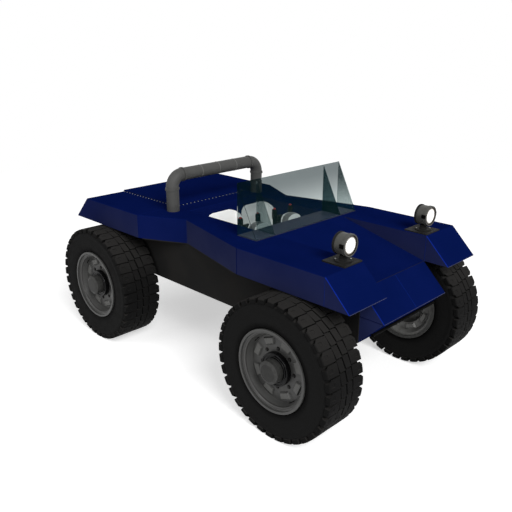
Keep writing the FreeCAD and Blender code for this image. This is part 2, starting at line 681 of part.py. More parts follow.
def add_spindle(body, axle_x, sign):
    """Brake backing plate, drum and wheel spindle along Y."""
    backing_end = "plate_y + backing_thickness"
    for end, radius in ((backing_end, "backing_radius"), (backing_end + " + drum_width", "drum_radius"),
                        ("wheel_y + spindle_end", "spindle_radius")):
        rod(body, "XZ", *span(sign, "plate_y", end), axle_x, "axle_z", radius)


def add_links(body, axle_x, ahead):
    """Two coil-over dampers up to the bay's floor, and two radius arms to a foot under the floor."""
    for name, sign in SIDES:
        damper_y = signed(sign, "damper_spread / 2")
        rod(body, "XY", "axle_z", "tub_z", axle_x, damper_y, "damper_radius")
        for low in ("axle_z + beam_radius", "tub_z - spring_seat"):
            rod(body, "XY", low, low + " + spring_seat", axle_x, damper_y, "spring_seat_radius")
        foot = f"{axle_x} {ahead} arm_run"
        arm = [(axle_x, "axle_z - arm_height / 2"), (axle_x, "axle_z + arm_height / 2"), (foot, "tub_z"),
               (f"{foot} {ahead} arm_foot", "tub_z"), (f"{foot} {ahead} arm_foot", "tub_z - arm_height / 2"),
               (foot, "tub_z - arm_height / 2")]
        prism(body, "XZ", *span(sign, "(arm_spread - arm_thickness) / 2", "(arm_spread + arm_thickness) / 2"), arm)


def make_front_axle():
    """Beam with a vertical kingpin sleeve at each end, carried by two dampers and two radius arms."""
    body = new_body("front_axle")
    rod(body, "XZ", "-kingpin_y", "kingpin_y", "front_axle_x", "axle_z", "beam_radius")
    sleeve = ("axle_z - sleeve_half", "axle_z + sleeve_half", "front_axle_x")
    for name, sign in SIDES:
        rod(body, "XY", *sleeve, signed(sign, "kingpin_y"), "sleeve_radius")
    add_links(body, "front_axle_x", "-")
    for name, sign in SIDES:
        rod(body, "XY", *sleeve, signed(sign, "kingpin_y"), "kingpin_radius + kingpin_clearance", True)


def make_knuckle(name, sign):
    """Steering knuckle: fork, kingpin, web, steering arm, backing plate and spindle."""
    body = new_body(f"front_{name}_knuckle")
    reach = ("front_axle_x - sleeve_radius", "front_axle_x + sleeve_radius")
    bottom = ("fork_bottom - fork_plate", "fork_bottom")
    top = ("fork_top", "fork_top + fork_plate")
    block(body, reach, span(sign, "web_y", "plate_y"), (bottom[0], top[1]))
    for heights in (top, bottom):
        block(body, reach, span(sign, "kingpin_y - sleeve_radius", "web_y"), heights)
    rod(body, "XY", bottom[0], top[1], "front_axle_x", signed(sign, "kingpin_y"), "kingpin_radius")
    block(body, ("front_axle_x - steering_arm", "front_axle_x"),
          span(sign, "kingpin_y - sleeve_radius", "kingpin_y"), bottom)
    add_spindle(body, "front_axle_x", sign)


def make_rear_axle():
    """Tube with a differential housing and spindles, carried by two dampers and two radius arms."""
    body = new_body("rear_axle")
    rod(body, "XZ", "-(plate_y)", "plate_y", "rear_axle_x", "axle_z", "beam_radius")
    rod(body, "XZ", "-diff_width / 2", "diff_width / 2", "rear_axle_x", "axle_z", "diff_radius")
    for name, sign in SIDES:
        add_spindle(body, "rear_axle_x", sign)
    add_links(body, "rear_axle_x", "+")


def rib_outline(inner, outer, half_angle, middle):
    """Four corners between two radii, either side of a direction given in degrees from the top."""
    corners = ((inner, "-"), (inner, "+"), (outer, "+"), (outer, "-"))
    turns = [(radius, f"{middle} {side} ({half_angle})") for radius, side in corners]
    return [(f"({radius}) * sin({turn})", f"({radius}) * cos({turn})") for radius, turn in turns]


def make_rim(label, axle_x, sign):
    """Wheel turned about Y, outer face on +Y, with stamped ribs and nut recesses in polar patterns."""
    body = new_body(label + "_rim")
    bore = "spindle_radius + spindle_clearance"
    bore_end = "spindle_end + 2 * spindle_clearance"
    profile = [(bore_end, "0"), ("cap_face", "0"), ("cap_face", "cap_radius - cap_chamfer"),
               ("cap_face - cap_chamfer / 2", "cap_radius"), ("hub_face", "cap_radius"),
               ("hub_face", "hub_radius"),
               ("disc_face", "hub_radius"), ("disc_face", "dish_radius"),
               ("flange_face - 2 * step_depth", "step_radius - step_depth"),
               ("flange_face - step_depth", "step_radius"),
               ("flange_face - step_depth", "lip_radius"), ("flange_face", "lip_radius"),
               ("flange_face", "rim_radius"), ("bead_half", "rim_radius"), ("bead_half", "bead_radius"),
               ("-bead_half", "bead_radius"), ("-bead_half", "rim_radius"), ("-flange_face", "rim_radius"),
               ("-flange_face", "barrel_radius"), ("disc_face - disc_thickness", "barrel_radius"),
               ("disc_face - disc_thickness", "boss_radius"), ("boss_face", "boss_radius"), ("boss_face", bore),
               (bore_end, bore)]
    turn(body, "Y", profile)
    half_turn = "180 / rib_count"
    half_rib = "rib_angle / 2"
    foot = rib_outline("rib_inner", "rib_outer", half_rib, half_turn)
    crest = rib_outline("rib_inner + rib_bevel", "rib_outer - rib_bevel",
                        half_rib + " - rib_bevel_angle", half_turn)
    levels = ("-disc_face + disc_thickness / 2", "-disc_face", "-disc_face - rib_height")
    rib = loft(body, "XZ", levels, (foot, foot, crest))
    repeat_round(body, [rib], "rib_count")
    nut = rod(body, "XZ", "disc_face - nut_depth", "disc_face + nut_depth", "0", "nut_circle", "nut_hole", True)
    repeat_round(body, [nut], "rib_count")
    place(body, axle_x, signed(sign, "wheel_y"), "axle_z", sign == "-")


def make_tyre(label, axle_x, sign):
    """Carcass turned about Y, open to the rim between its beads."""
    body = new_body(label + "_tyre")
    bead = "bead_radius + bead_gap"
    edge = "bead_half - bead_gap"
    outer = [(edge, bead), (edge, "rim_radius + tyre_lip"), ("tyre_half - sidewall_inset", "sidewall_radius"),
             ("tyre_half", "tyre_radius - shoulder_height"), ("tyre_half - shoulder_width", "tyre_radius")]
    inner = [("tyre_half - shoulder_width - tyre_wall / 2", "tyre_radius - tyre_wall"),
             ("tyre_half - sidewall_inset - tyre_wall", "sidewall_radius"), (edge + " - tyre_wall", bead)]
    mirrored = [(f"-({along})", radius) for along, radius in reversed(outer)]
    mirrored_inner = [(f"-({along})", radius) for along, radius in reversed(inner)]
    turn(body, "Y", outer + mirrored + mirrored_inner + inner)
    place(body, axle_x, signed(sign, "wheel_y"), "axle_z", sign == "-")


make_tail()
make_cross_deck("roll_bar_deck", "shoulder_x", "cockpit_rear_x")
make_cross_deck("cowl_deck", "cockpit_front_x", "cowl_x")
make_hood()
make_nose()
make_tub()
make_bay("engine_bay", "rear_bay_x", "tub_rear_x", "tub_half")
make_bay("front_bay", "tub_front_x", "fender_x", "bay_half")
make_engine()
make_cover()
make_hinges()
make_roll_bar()
make_windscreen()
make_lenses()
make_front_axle()
make_rear_axle()
for side, sign in SIDES:
    make_side_deck(side, sign)
    make_fender(side, sign)
    make_seat(side, sign)
    make_controls(side, sign)
    make_lamp(side, sign)
    make_knuckle(side, sign)
    for end, axle_x in (("front", "front_axle_x"), ("rear", "rear_axle_x")):
        make_rim(f"{end}_{side}", axle_x, sign)
        make_tyre(f"{end}_{side}", axle_x, sign)
doc.recompute()

for item in doc.Objects:
    assert "Invalid" not in item.State and "Error" not in item.State, f"{item.Name}: {item.State}"
bodies = [item for item in doc.Objects if item.TypeId == "PartDesign::Body"]
for body in bodies:
    assert not body.Shape.isNull() and body.Shape.isValid(), f"{body.Label}: shape is not valid"
os.makedirs("parts", exist_ok=True)
for body in bodies:
    body.Shape.exportStep(f"parts/{body.Label}.step")
print(len(bodies), "pieces")
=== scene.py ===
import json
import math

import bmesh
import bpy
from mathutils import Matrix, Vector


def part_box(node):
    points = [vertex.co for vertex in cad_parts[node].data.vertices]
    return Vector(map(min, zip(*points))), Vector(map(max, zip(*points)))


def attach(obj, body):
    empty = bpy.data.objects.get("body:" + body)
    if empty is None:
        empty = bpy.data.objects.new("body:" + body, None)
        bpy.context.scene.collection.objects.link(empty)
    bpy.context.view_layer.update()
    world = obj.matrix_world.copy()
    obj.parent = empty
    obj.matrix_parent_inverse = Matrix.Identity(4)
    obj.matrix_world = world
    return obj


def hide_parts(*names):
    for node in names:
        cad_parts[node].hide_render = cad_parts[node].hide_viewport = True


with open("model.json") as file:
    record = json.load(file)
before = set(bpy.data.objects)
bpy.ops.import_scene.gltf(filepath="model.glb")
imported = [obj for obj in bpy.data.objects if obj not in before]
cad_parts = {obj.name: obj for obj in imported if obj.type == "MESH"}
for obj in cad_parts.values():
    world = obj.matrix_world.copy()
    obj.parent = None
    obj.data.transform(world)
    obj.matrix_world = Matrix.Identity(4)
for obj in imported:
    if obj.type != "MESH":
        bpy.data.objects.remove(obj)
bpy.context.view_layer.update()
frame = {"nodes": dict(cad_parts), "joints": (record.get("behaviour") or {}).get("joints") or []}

# %% [markdown]
# # An open dune buggy
# The frame above is the buggy as it was engineered: every panel, axle and wheel at its true size, in
# metres, with +X forward, +Y to the left and +Z up. This lesson gives it the things that a maker adds last:
# paint, rubber, upholstery, springs, nuts and lamps. A piece is always placed from the frame's own boxes
# and joints, never by eye.

SIDES = (("left", 1), ("right", -1))
CORNERS = [f"{end}_{side}" for end in ("front", "rear") for side, sign in SIDES]


def short(values, places=3):
    """Numbers rounded for printing."""
    return [round(value, places) for value in values]


# %% [markdown]
# ## Writing node trees as sentences
# Materials and Geometry Nodes are both graphs of small machines. Joining sockets by hand hides the idea
# behind the wiring, so one class adds a node from its type, its settings and its inputs, and a second class
# wraps a socket so that `1 - mask * 0.5` adds the Math nodes that the sum needs.


# %% A graph, and a value in it
class Value:
    """A socket that takes part in Python arithmetic."""

    def __init__(self, graph, socket):
        self.graph, self.socket = graph, socket

    def __add__(self, other):
        return self.graph.maths("ADD", self, other)

    def __sub__(self, other):
        return self.graph.maths("SUBTRACT", self, other)

    def __rsub__(self, other):
        return self.graph.maths("SUBTRACT", other, self)

    def __mul__(self, other):
        return self.graph.maths("MULTIPLY", self, other)

    def __truediv__(self, other):
        return self.graph.maths("DIVIDE", self, other)

    def __pow__(self, other):
        return self.graph.maths("POWER", self, other)

    __radd__ = __add__
    __rmul__ = __mul__


class Graph:
    """A node tree that is written one call at a time."""

    def __init__(self, tree):
        self.tree = tree

    def plug(self, target, value):
        """Link a value to a socket, or write a plain number or colour into it."""
        if isinstance(value, Value):
            self.tree.links.new(value.socket, target)
        else:
            target.default_value = value

    def node(self, kind, settings=None, inputs=None, output=0):
        made = self.tree.nodes.new(kind)
        for name, value in (settings or {}).items():
            setattr(made, name, value)
        for name, value in (inputs or {}).items():
            self.plug(made.inputs[name], value)
        return Value(self, made.outputs[output])

    def maths(self, operation, *values):
        return self.node("ShaderNodeMath", {"operation": operation}, dict(enumerate(values)))

    def seen(self):
        """One for a ray from the camera, off a gloss or through glass, and zero for rays that only light."""
        path = self.tree.nodes.new("ShaderNodeLightPath")
        names = ("Is Camera Ray", "Is Glossy Ray", "Is Transmission Ray")
        camera, gloss, glass = (Value(self, path.outputs[name]) for name in names)
        return camera + gloss + glass


print("graph tools ready")

# %% [markdown]
# ## Finishes
# A finish is one Principled shader. What is the same all over is set on the shader itself, and what drifts
# over the surface, such as dust or a worn sheen, arrives through nodes. Every pattern reads Object
# coordinates, because all pieces share the frame's origin, so a pattern is as large in metres as it is
# written.


# %% A finish, and the patterns that most finishes share
def shade(red, green, blue):
    """A colour as a painter mixes it on a screen, from 0 to 255, turned into light."""
    def light(level):
        level /= 255
        return level / 12.92 if level <= 0.04045 else ((level + 0.055) / 1.055) ** 2.4
    return (light(red), light(green), light(blue), 1.0)


class Finish(Graph):
    """A named material: a Principled shader with fixed settings, fed by the nodes that vary it."""

    def __init__(self, name, **fixed):
        self.material = bpy.data.materials.new(name)
        self.material.use_nodes = True
        super().__init__(self.material.node_tree)
        self.shader = self.tree.nodes["Principled BSDF"]
        self.feed(**fixed)
        self.place = self.node("ShaderNodeTexCoord", output="Object")

    def feed(self, **inputs):
        """Set or link the shader's sockets, each named with underscores for its spaces."""
        for socket, value in inputs.items():
            self.plug(self.shader.inputs[socket.replace("_", " ")], value)

    def noise(self, size, detail=3.0):
        """Cloudy noise whose patches are about size metres across."""
        inputs = {"Vector": self.place, "Scale": 1 / size, "Detail": detail}
        return self.node("ShaderNodeTexNoise", {}, inputs)

    def ramp(self, value, low, high):
        """Zero below low, one above high, smooth between."""
        return self.node("ShaderNodeMapRange", {"interpolation_type": "SMOOTHSTEP"},
                         {"Value": value, "From Min": low, "From Max": high})

    def mix(self, mask, first, second):
        return self.node("ShaderNodeMix", {"data_type": "RGBA"}, {0: mask, 6: first, 7: second}, 2)

    def axis(self, letter):
        return self.node("ShaderNodeSeparateXYZ", {}, {"Vector": self.place}, letter)

    def facing(self, letter):
        """How far the surface faces along one axis, from -1 to 1."""
        normal = self.node("ShaderNodeNewGeometry", {}, {}, "Normal")
        return self.node("ShaderNodeSeparateXYZ", {}, {"Vector": normal}, letter)

    def bump(self, height, depth, strength=1.0):
        inputs = {"Height": height, "Distance": depth, "Strength": strength}
        return self.node("ShaderNodeBump", {}, inputs, "Normal")


def drifting(name, first, second, patch, grain, depth, smoothest, roughest, specular=0.5, metallic=0.0):
    """A finish that drifts between two colours and two roughnesses over patches, with a fine raised grain."""
    made = Finish(name, Specular_IOR_Level=specular, Metallic=metallic)
    drift = made.ramp(made.noise(patch), 0.35, 0.65)
    grit = made.noise(grain, 2.0)
    made.feed(Base_Color=made.mix(drift * 0.7 + grit * 0.3, shade(*first), shade(*second)),
              Roughness=smoothest + (roughest - smoothest) * drift, Normal=made.bump(grit, depth))
    return made


BLACK, WHITE = shade(0, 0, 0), shade(255, 255, 255)
print("finish tools ready")

# %% [markdown]
# ## Body paint
# The body is navy blue, sprayed on a faceted shell. The paint has a faint orange peel and fine specks of
# dirt. Upright faces carry a grey-blue painted sheen, read from the way each face points: it is strongest
# on faces that turn sideways or back, weaker on those that turn forward and at the rear, it grows towards
# the bottom of the side band, and faces that point up have none. Side faces below the band are painted a
# little lighter, as painted light, and the slanted facets at the very front carry a painted highlight in
# a brighter blue.

# %% Mix the paint
band_z, deck_z = (corner.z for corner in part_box("rear_deck"))
paint = Finish("navy_paint", Specular_IOR_Level=0.0)
haze = paint.ramp(paint.noise(0.35, 4.0), 0.3, 0.7)
speck = paint.noise(0.004, 3.0)
steep = 1 - paint.ramp(paint.facing("Z"), 0.2, 0.9)
sideways = paint.facing("Y") * paint.facing("Y")
low_down = 1 - paint.ramp(paint.axis("Z"), band_z - 0.05, deck_z + 0.02)
ahead = paint.facing("X")
# Painted sheen: a grey-blue coat on upright faces, set by the way they point, with fine specks of dirt added
# below.
sheen_strength = 0.22 + low_down * 0.10 + paint.ramp(ahead * -1.0, 0.08, 0.35) * 0.22
sheen_cut_ahead = 1 - paint.ramp(ahead, 0.05, 0.25) * 0.8
behind = 1 - paint.ramp(paint.axis("X"), -1.5, -1.0)
side_sheen = paint.ramp(sideways, 0.55, 1.0) * sheen_strength * sheen_cut_ahead * (1 - behind * 0.45)
sheen_and_dust = steep * (0.01 + side_sheen) * (0.85 + haze * 0.3) + speck * 0.02
# A painted highlight: bevels at the front are painted a brighter blue.
forward_edge = (paint.ramp(paint.axis("X"), 1.25, 1.35) * paint.ramp(paint.axis("Z"), 0.832, 0.838)
                * paint.ramp(ahead, 0.2, 0.4))
front_edge_highlight = paint.ramp(sideways, 0.10, 0.20) * (1 - paint.ramp(sideways, 0.70, 0.80)) * forward_edge
# Painted light: side faces below the band are painted a little lighter.
lit_below_band = paint.ramp(sideways, 0.5, 0.9) * (1 - paint.ramp(paint.axis("Z"), 0.98, 1.03))
fresh = paint.mix(haze, shade(4, 18, 69), shade(6, 20, 74))
paint_with_sheen = paint.mix(lit_below_band * 0.35, paint.mix(sheen_and_dust, fresh, shade(58, 60, 76)), shade(56, 66, 118))
paint.feed(Base_Color=paint.mix(front_edge_highlight * 0.65, paint_with_sheen, shade(16, 44, 150)),
           Roughness=0.45 + sheen_and_dust * 0.3 + haze * 0.08,
           Normal=paint.bump(paint.noise(0.003, 1.0), 0.00025, 0.5))
print("paint", paint.material.name)

# %% [markdown]
# ## Blacks, greys and bare metal
# The tub and bays are moulded black, the chassis is black enamel, and the roll bar is grey enamel. They
# share one recipe, with different colours, patch sizes and grain: what tells black plastic from black steel
# is the grain. So each finish is one row of a table. The seat shells also give off a little light of their
# own, a painted glow that keeps them bright in the deep cockpit.

# %% Mix the plain finishes
# A row holds two colours, then the size of the patches and of the grain, the grain's depth, the least and
# the most roughness, and the specular and metallic levels where they aren't the shader's own.
PLAIN = {
    "tub_black": ((26, 26, 26), (36, 35, 34), 0.30, 0.004, 0.0004, 0.72, 0.85, 0.05),
    "chassis_black": ((22, 22, 23), (34, 33, 32), 0.12, 0.003, 0.0002, 0.45, 0.65, 0.1),
    "bar_grey": ((70, 70, 69), (78, 78, 77), 0.15, 0.002, 0.0001, 0.45, 0.6, 0.15),
    "weld_grey": ((104, 104, 102), (116, 116, 114), 0.15, 0.002, 0.0001, 0.45, 0.6, 0.15),
    "zinc": ((150, 150, 148), (190, 190, 186), 0.02, 0.001, 0.00005, 0.25, 0.4, 0.5, 1.0),
    "dark_steel": ((24, 24, 25), (36, 35, 34), 0.02, 0.001, 0.00005, 0.35, 0.5, 0.1, 0.3),
    "gloss_black": ((10, 10, 11), (15, 15, 16), 0.05, 0.002, 0.00003, 0.16, 0.24, 0.14),
    "engine_cast": ((62, 62, 60), (92, 90, 86), 0.08, 0.003, 0.0006, 0.55, 0.75, 0.5, 0.6),
    "sill_grey": ((58, 60, 80), (68, 70, 90), 0.10, 0.002, 0.0001, 0.5, 0.65, 0.05),
    "lamp_black": ((28, 28, 28), (36, 36, 35), 0.04, 0.002, 0.0001, 0.5, 0.65, 0.05),
    "lamp_grey": ((66, 66, 63), (78, 78, 75), 0.05, 0.0015, 0.00005, 0.4, 0.5, 0.2),
    "grip_rubber": ((36, 38, 37), (50, 52, 50), 0.03, 0.0012, 0.0003, 0.7, 0.85, 0.05),
    "button_red": ((200, 18, 14), (225, 30, 22), 0.01, 0.001, 0.00002, 0.3, 0.4),
    "seat_shell_white": ((222, 222, 220), (240, 240, 238), 0.12, 0.002, 0.0001, 0.35, 0.5),
    # Painted highlight: light violet for the folded edges.
    "edge_violet": ((50, 54, 84), (62, 66, 96), 0.06, 0.002, 0.0001, 0.5, 0.6, 0.05),
    "seam_dark": ((6, 14, 60), (10, 18, 66), 0.06, 0.002, 0.0001, 0.5, 0.6, 0.0),
    # Painted highlight: lighter blue for the creases and the nose's middle seam.
    "seam_blue": ((10, 32, 108), (14, 38, 118), 0.06, 0.002, 0.0001, 0.5, 0.6, 0.0),
    "skid_black": ((4, 4, 4), (9, 9, 9), 0.06, 0.002, 0.0001, 0.6, 0.7, 0.02),
    "screw_grey": ((150, 152, 158), (178, 180, 184), 0.02, 0.001, 0.00005, 0.4, 0.5, 0.1),
    # Painted highlight: lighter than cap_grey, for the cap's bevel; also used on the inner flange.
    "machined_edge": ((52, 52, 51), (64, 64, 63), 0.03, 0.001, 0.00005, 0.4, 0.5, 0.1),
    "cap_grey": ((42, 42, 41), (52, 52, 51), 0.03, 0.001, 0.00005, 0.4, 0.5, 0.1),
    # Painted light: lighter than the rim, for the parts inside the barrel.
    "inner_alloy": ((84, 84, 82), (102, 102, 100), 0.04, 0.002, 0.0001, 0.4, 0.5, 0.3),
    "reflector_silver": ((220, 221, 222), (240, 240, 240), 0.03, 0.004, 0.0002, 0.1, 0.2, 0.5, 1.0),
}
plain = {name: drifting(name, *row) for name, row in PLAIN.items()}
# A painted glow: the seat shells and the vinyl give off a little light of their own, though they are no
# lamps.
PAINTED_GLOW = {"Emission_Color": WHITE, "Emission_Strength": 0.25}
plain["seat_shell_white"].feed(**PAINTED_GLOW)
print(len(plain), "plain finishes mixed")

# %% [markdown]
# ## Wheels in cast alloy, tyres in rubber
# A rim is satin grey. It is painted darker near the hub and outside the disc, and darker still in the
# hollows between the ribs and in two turned grooves, which is painted shade; the raised ribs on the disc
# are painted lighter, a painted highlight. On the tyres, faces that point up are painted lighter and the
# sideways faces of the blocks darker, and a black ring beside the rim is a painted shadow. All four rims
# share one material, so the distance from the axle is measured from the nearest wheel centre: the centres
# are mirrored about the frame's origin, and taking absolute X and subtracting half the wheelbase folds the
# four wheels onto one.

# %% Mix the wheel finishes
wheel_low, wheel_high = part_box("front_left_tyre")
hub = (wheel_low + wheel_high) / 2
tread_radius = (wheel_high.z - wheel_low.z) / 2
tyre_half = (wheel_high.y - wheel_low.y) / 2


def from_axle(finish):
    """Distance from the nearest wheel's axis."""
    along = finish.maths("ABSOLUTE", finish.axis("X")) - hub.x
    up = finish.axis("Z") - hub.z
    return (along * along + up * up) ** 0.5


alloy = Finish("wheel_alloy", Metallic=0.2, Specular_IOR_Level=0.35)
reach = from_axle(alloy)
# Painted shade in the two grooves and in the hollows between the ribs, and a plain darkening near the hub and
# outside the disc.
darker_and_shaded = (1 - alloy.ramp(reach, 0.10, 0.20)) * 0.25 + alloy.ramp(reach, 0.235, 0.27) * 0.1
for groove in (0.2585, 0.2690):
    darker_and_shaded += (1 - alloy.ramp(alloy.maths("ABSOLUTE", reach - groove), 0.0006, 0.0024)) * 0.7
cloud = alloy.noise(0.05, 4.0)
on_disc = alloy.ramp(reach, 0.125, 0.135) * (1 - alloy.ramp(reach, 0.236, 0.246))
raised = alloy.ramp(alloy.maths("ABSOLUTE", alloy.axis("Y")), hub.y + 0.094, hub.y + 0.104)
darkening_with_shade = darker_and_shaded + cloud * 0.2 + on_disc * (1 - raised) * 0.15
# A painted highlight: the raised ribs on the disc are painted lighter.
base_with_lit_ribs = alloy.mix(on_disc * raised, shade(68, 68, 67), shade(84, 84, 82))
alloy.feed(Base_Color=alloy.mix(darkening_with_shade, base_with_lit_ribs, shade(34, 33, 32)),
           Roughness=0.34 + cloud * 0.2, Normal=alloy.bump(alloy.noise(0.002, 2.0), 0.0001))

RINGS_PER_METRE = 900.0
rubber = Finish("tyre_rubber", Specular_IOR_Level=0.03)
reach = from_axle(rubber)
rings = rubber.maths("SINE", reach * RINGS_PER_METRE)
dusty = rubber.ramp(rubber.noise(0.06, 5.0), 0.45, 0.75)
tread_zone = rubber.ramp(reach, tread_radius - 0.040, tread_radius - 0.036)
# Painted light and shade: faces that point up are painted lighter, block faces that turn sideways darker, and
# a black ring beside the rim is a painted shadow of the gap.
lit_from_above = rubber.ramp(rubber.facing("Z"), 0.1, 0.9)
rim_gap_shadow = 1 - rubber.ramp(reach, 0.310, 0.360)
ends = rubber.facing("Y") * rubber.facing("Y")
shaded_ends = rubber.ramp(ends, 0.5, 0.9)
light_on_tops = rubber.mix(lit_from_above * 0.9 + dusty * 0.1, shade(17, 17, 17), shade(42, 41, 40))
lugs_lit_and_shaded = rubber.mix(shaded_ends, light_on_tops, shade(17, 17, 17))
wall = rubber.mix(dusty * 0.2, shade(22, 22, 22), shade(34, 33, 32))
rubber.feed(Base_Color=rubber.mix(rim_gap_shadow * 0.9, rubber.mix(tread_zone, wall, lugs_lit_and_shaded), shade(4, 4, 4)),
            Roughness=0.7 + dusty * 0.15,
            Normal=rubber.bump(rings * (1 - tread_zone) * 0.3 + rubber.noise(0.002, 3.0), 0.0004))
print("wheel finishes; hub at", short(hub), "radius", round(tread_radius, 3))

# %% [markdown]
# ## Glass and lenses
# The windscreen is tinted, and the tint deepens towards the top, as on many screens. Its gussets are tinted
# too, and the left one is painted darker, a painted dark reflection. The windscreen and gussets also give
# off a faint blue-green light of their own, a painted haze. Glass needs almost no nodes: a transmitting
# shader does the work, and only its colour drifts. The lamp lenses glow in the middle, round which flutes
# spread like spokes, made with a sine of the angle.

# %% Mix the glass finishes
# Painted light: both glasses give off a faint blue-green light of their own, a painted haze.
TINTED = {"Transmission_Weight": 1.0, "IOR": 1.03, "Roughness": 0.0, "Emission_Strength": 0.03}
glass_haze_teal = shade(40, 92, 98)
screen_low, screen_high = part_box("windscreen_front_pane")
screen_glass = Finish("screen_glass", **TINTED)
height = screen_glass.ramp(screen_glass.axis("Z"), screen_low.z, screen_high.z - 0.04)
smear = screen_glass.noise(0.2, 3.0)
tint = screen_glass.mix(height * 0.95 + smear * 0.05, shade(196, 204, 203), shade(116, 123, 124))
screen_glass.feed(Base_Color=tint, Emission_Color=screen_glass.mix(smear, glass_haze_teal, shade(46, 104, 112)))

gusset_glass = Finish("gusset_glass", Emission_Color=glass_haze_teal, **TINTED)
# A painted dark reflection: the left gusset is painted darker than the right.
shaded = gusset_glass.ramp(gusset_glass.axis("Y"), -0.1, 0.1) * 0.95 + gusset_glass.noise(0.2) * 0.05
gusset_glass.feed(Base_Color=gusset_glass.mix(shaded, shade(170, 180, 180), shade(62, 82, 86)))

LAMP_LIFT = 0.004
FLUTES = 28.0
lens_glass = Finish("lens_glass", IOR=1.3, Roughness=0.25, Emission_Strength=0.6)
lamp_low, lamp_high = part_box("left_lamp_housing")
across = lens_glass.maths("ABSOLUTE", lens_glass.axis("Y")) - (lamp_low.y + lamp_high.y) / 2
upward = lens_glass.axis("Z") - ((lamp_low.z + lamp_high.z) / 2 + LAMP_LIFT)
flute = lens_glass.maths("SINE", lens_glass.maths("ARCTAN2", across, upward) * FLUTES)
out = (across * across + upward * upward) ** 0.5
lit = 1 - lens_glass.ramp(out + flute * 0.003, 0.046, 0.059)
fluted = lens_glass.mix(flute, shade(36, 30, 24), shade(72, 60, 48))
lens_glass.feed(Base_Color=lens_glass.mix(lit, fluted, shade(244, 242, 238)),
                Emission_Color=lens_glass.mix(lit, BLACK, shade(240, 238, 232)),
                Normal=lens_glass.bump(flute, 0.0008))
warm = shade(255, 250, 235)
bulb_glow = Finish("bulb_glow", Base_Color=warm, Emission_Color=warm, Emission_Strength=4.0)
bulb_glow.feed(Roughness=0.2 + bulb_glow.noise(0.01) * 0.1)
print("glass finishes mixed")

# %% [markdown]
# ## Upholstery and moulded controls
# The seats are white vinyl with a leather-like grain, which is a cell pattern rather than a cloud. The
# control pods are white mouldings with a grey band that runs over each dome from side to side. The vinyl
# and the white of the pods give off a little light of their own, a painted glow.

# %% Mix the cockpit finishes
CELLS_PER_METRE = 420.0
# The vinyl gives off a painted glow.
vinyl = Finish("seat_vinyl", Specular_IOR_Level=0.4, **PAINTED_GLOW)
cells = vinyl.node("ShaderNodeTexVoronoi", {"feature": "DISTANCE_TO_EDGE"},
                   {"Vector": vinyl.place, "Scale": CELLS_PER_METRE})
worn = vinyl.ramp(vinyl.noise(0.12, 4.0), 0.4, 0.7)
greyed = worn * 0.6 + vinyl.noise(0.01) * 0.2
vinyl.feed(Base_Color=vinyl.mix(greyed, shade(242, 242, 240), shade(222, 221, 217)),
           Roughness=0.42 + worn * 0.15, Normal=vinyl.bump(vinyl.ramp(cells, 0.0, 0.12), 0.0003, 0.6))

pod_low, pod_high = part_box("left_control_pod")
pod_x = (pod_low.x + pod_high.x) / 2 + (pod_high.y - pod_low.y) / 4 - (pod_high.x - pod_low.x) / 4
pod_white = Finish("pod_white", Specular_IOR_Level=0.5, Emission_Strength=0.25)
off_centre = pod_white.maths("ABSOLUTE", pod_white.axis("X") - pod_x)
band = 1 - pod_white.ramp(off_centre, 0.030, 0.034)
grain = pod_white.noise(0.002, 2.0)
# Painted glow: the white of each pod gives off light of its own, but its grey band does not.
glow = pod_white.mix(band, WHITE, BLACK)
dome = pod_white.mix(grain, shade(232, 232, 230), shade(242, 242, 240))
pod_white.feed(Emission_Color=glow, Base_Color=pod_white.mix(band, dome, shade(118, 118, 117)),
               Roughness=0.3 + grain * 0.15, Normal=pod_white.bump(grain, 0.00008))
print("cockpit finishes mixed; pod axis at x", round(pod_x, 4))

# %% [markdown]
# ## Dress the engineered pieces
# Most pieces of the frame already have the right shape, so they only take a finish. One table from finish
# to node names does it, and the last line checks that no node was forgotten.

# %% Give every node its finish
sides = [side for side, sign in SIDES]
dress = {
    paint: ["rear_deck", "roll_bar_deck", "cowl_deck", "hood", "nose_panel", "engine_cover",
            *(f"{side}_{part}" for side in sides for part in ("side_deck", "fender"))],
    plain["tub_black"]: ["cockpit_tub", "engine_bay", "front_bay"],
    plain["bar_grey"]: ["roll_bar"],
    screen_glass: ["windscreen_front_pane", "windscreen_side_panes"],
    gusset_glass: ["windscreen_gussets"],
    plain["sill_grey"]: ["windscreen_sill"],
    plain["lamp_black"]: [f"{side}_lamp_base" for side in sides],
    plain["lamp_grey"]: [f"{side}_lamp_housing" for side in sides],
    lens_glass: ["lamp_lenses"],
    plain["seat_shell_white"]: [f"{side}_seat_shell" for side in sides],
    vinyl: [f"{side}_seat_pad" for side in sides],
    pod_white: [f"{side}_control_pod" for side in sides],
    plain["grip_rubber"]: [f"{side}_control_yoke" for side in sides],
    plain["engine_cast"]: ["engine_block"],
    plain["dark_steel"]: ["cover_hinges"],
    plain["chassis_black"]: ["front_axle", "rear_axle", *(f"front_{side}_knuckle" for side in sides)],
    alloy: [f"{corner}_rim" for corner in CORNERS],
    rubber: [f"{corner}_tyre" for corner in CORNERS],
}
for finish, names in dress.items():
    for name in names:
        mesh = frame["nodes"][name].data
        mesh.materials.clear()
        mesh.materials.append(finish.material)
undressed = set(frame["nodes"]) - {name for names in dress.values() for name in names}
print("dressed", sum(map(len, dress.values())), "nodes; left over:", sorted(undressed))

# %% [markdown]
# ## Making and placing a piece
# New pieces are modelled about a convenient point, then moved by transforming the mesh itself, so that each
# object stays at the origin as the frame's own pieces do. Round pieces are turned from a profile, as on a
# lathe.


# %% Helpers for pieces
def move(*place):
    return Matrix.Translation(place)


def spin(degrees, axis):
    return Matrix.Rotation(math.radians(degrees), 4, axis)


UNMOVED = Matrix.Identity(4)
LATHE_TO_Y = spin(-90, "X")
LATHE_TO_X = spin(90, "Y")


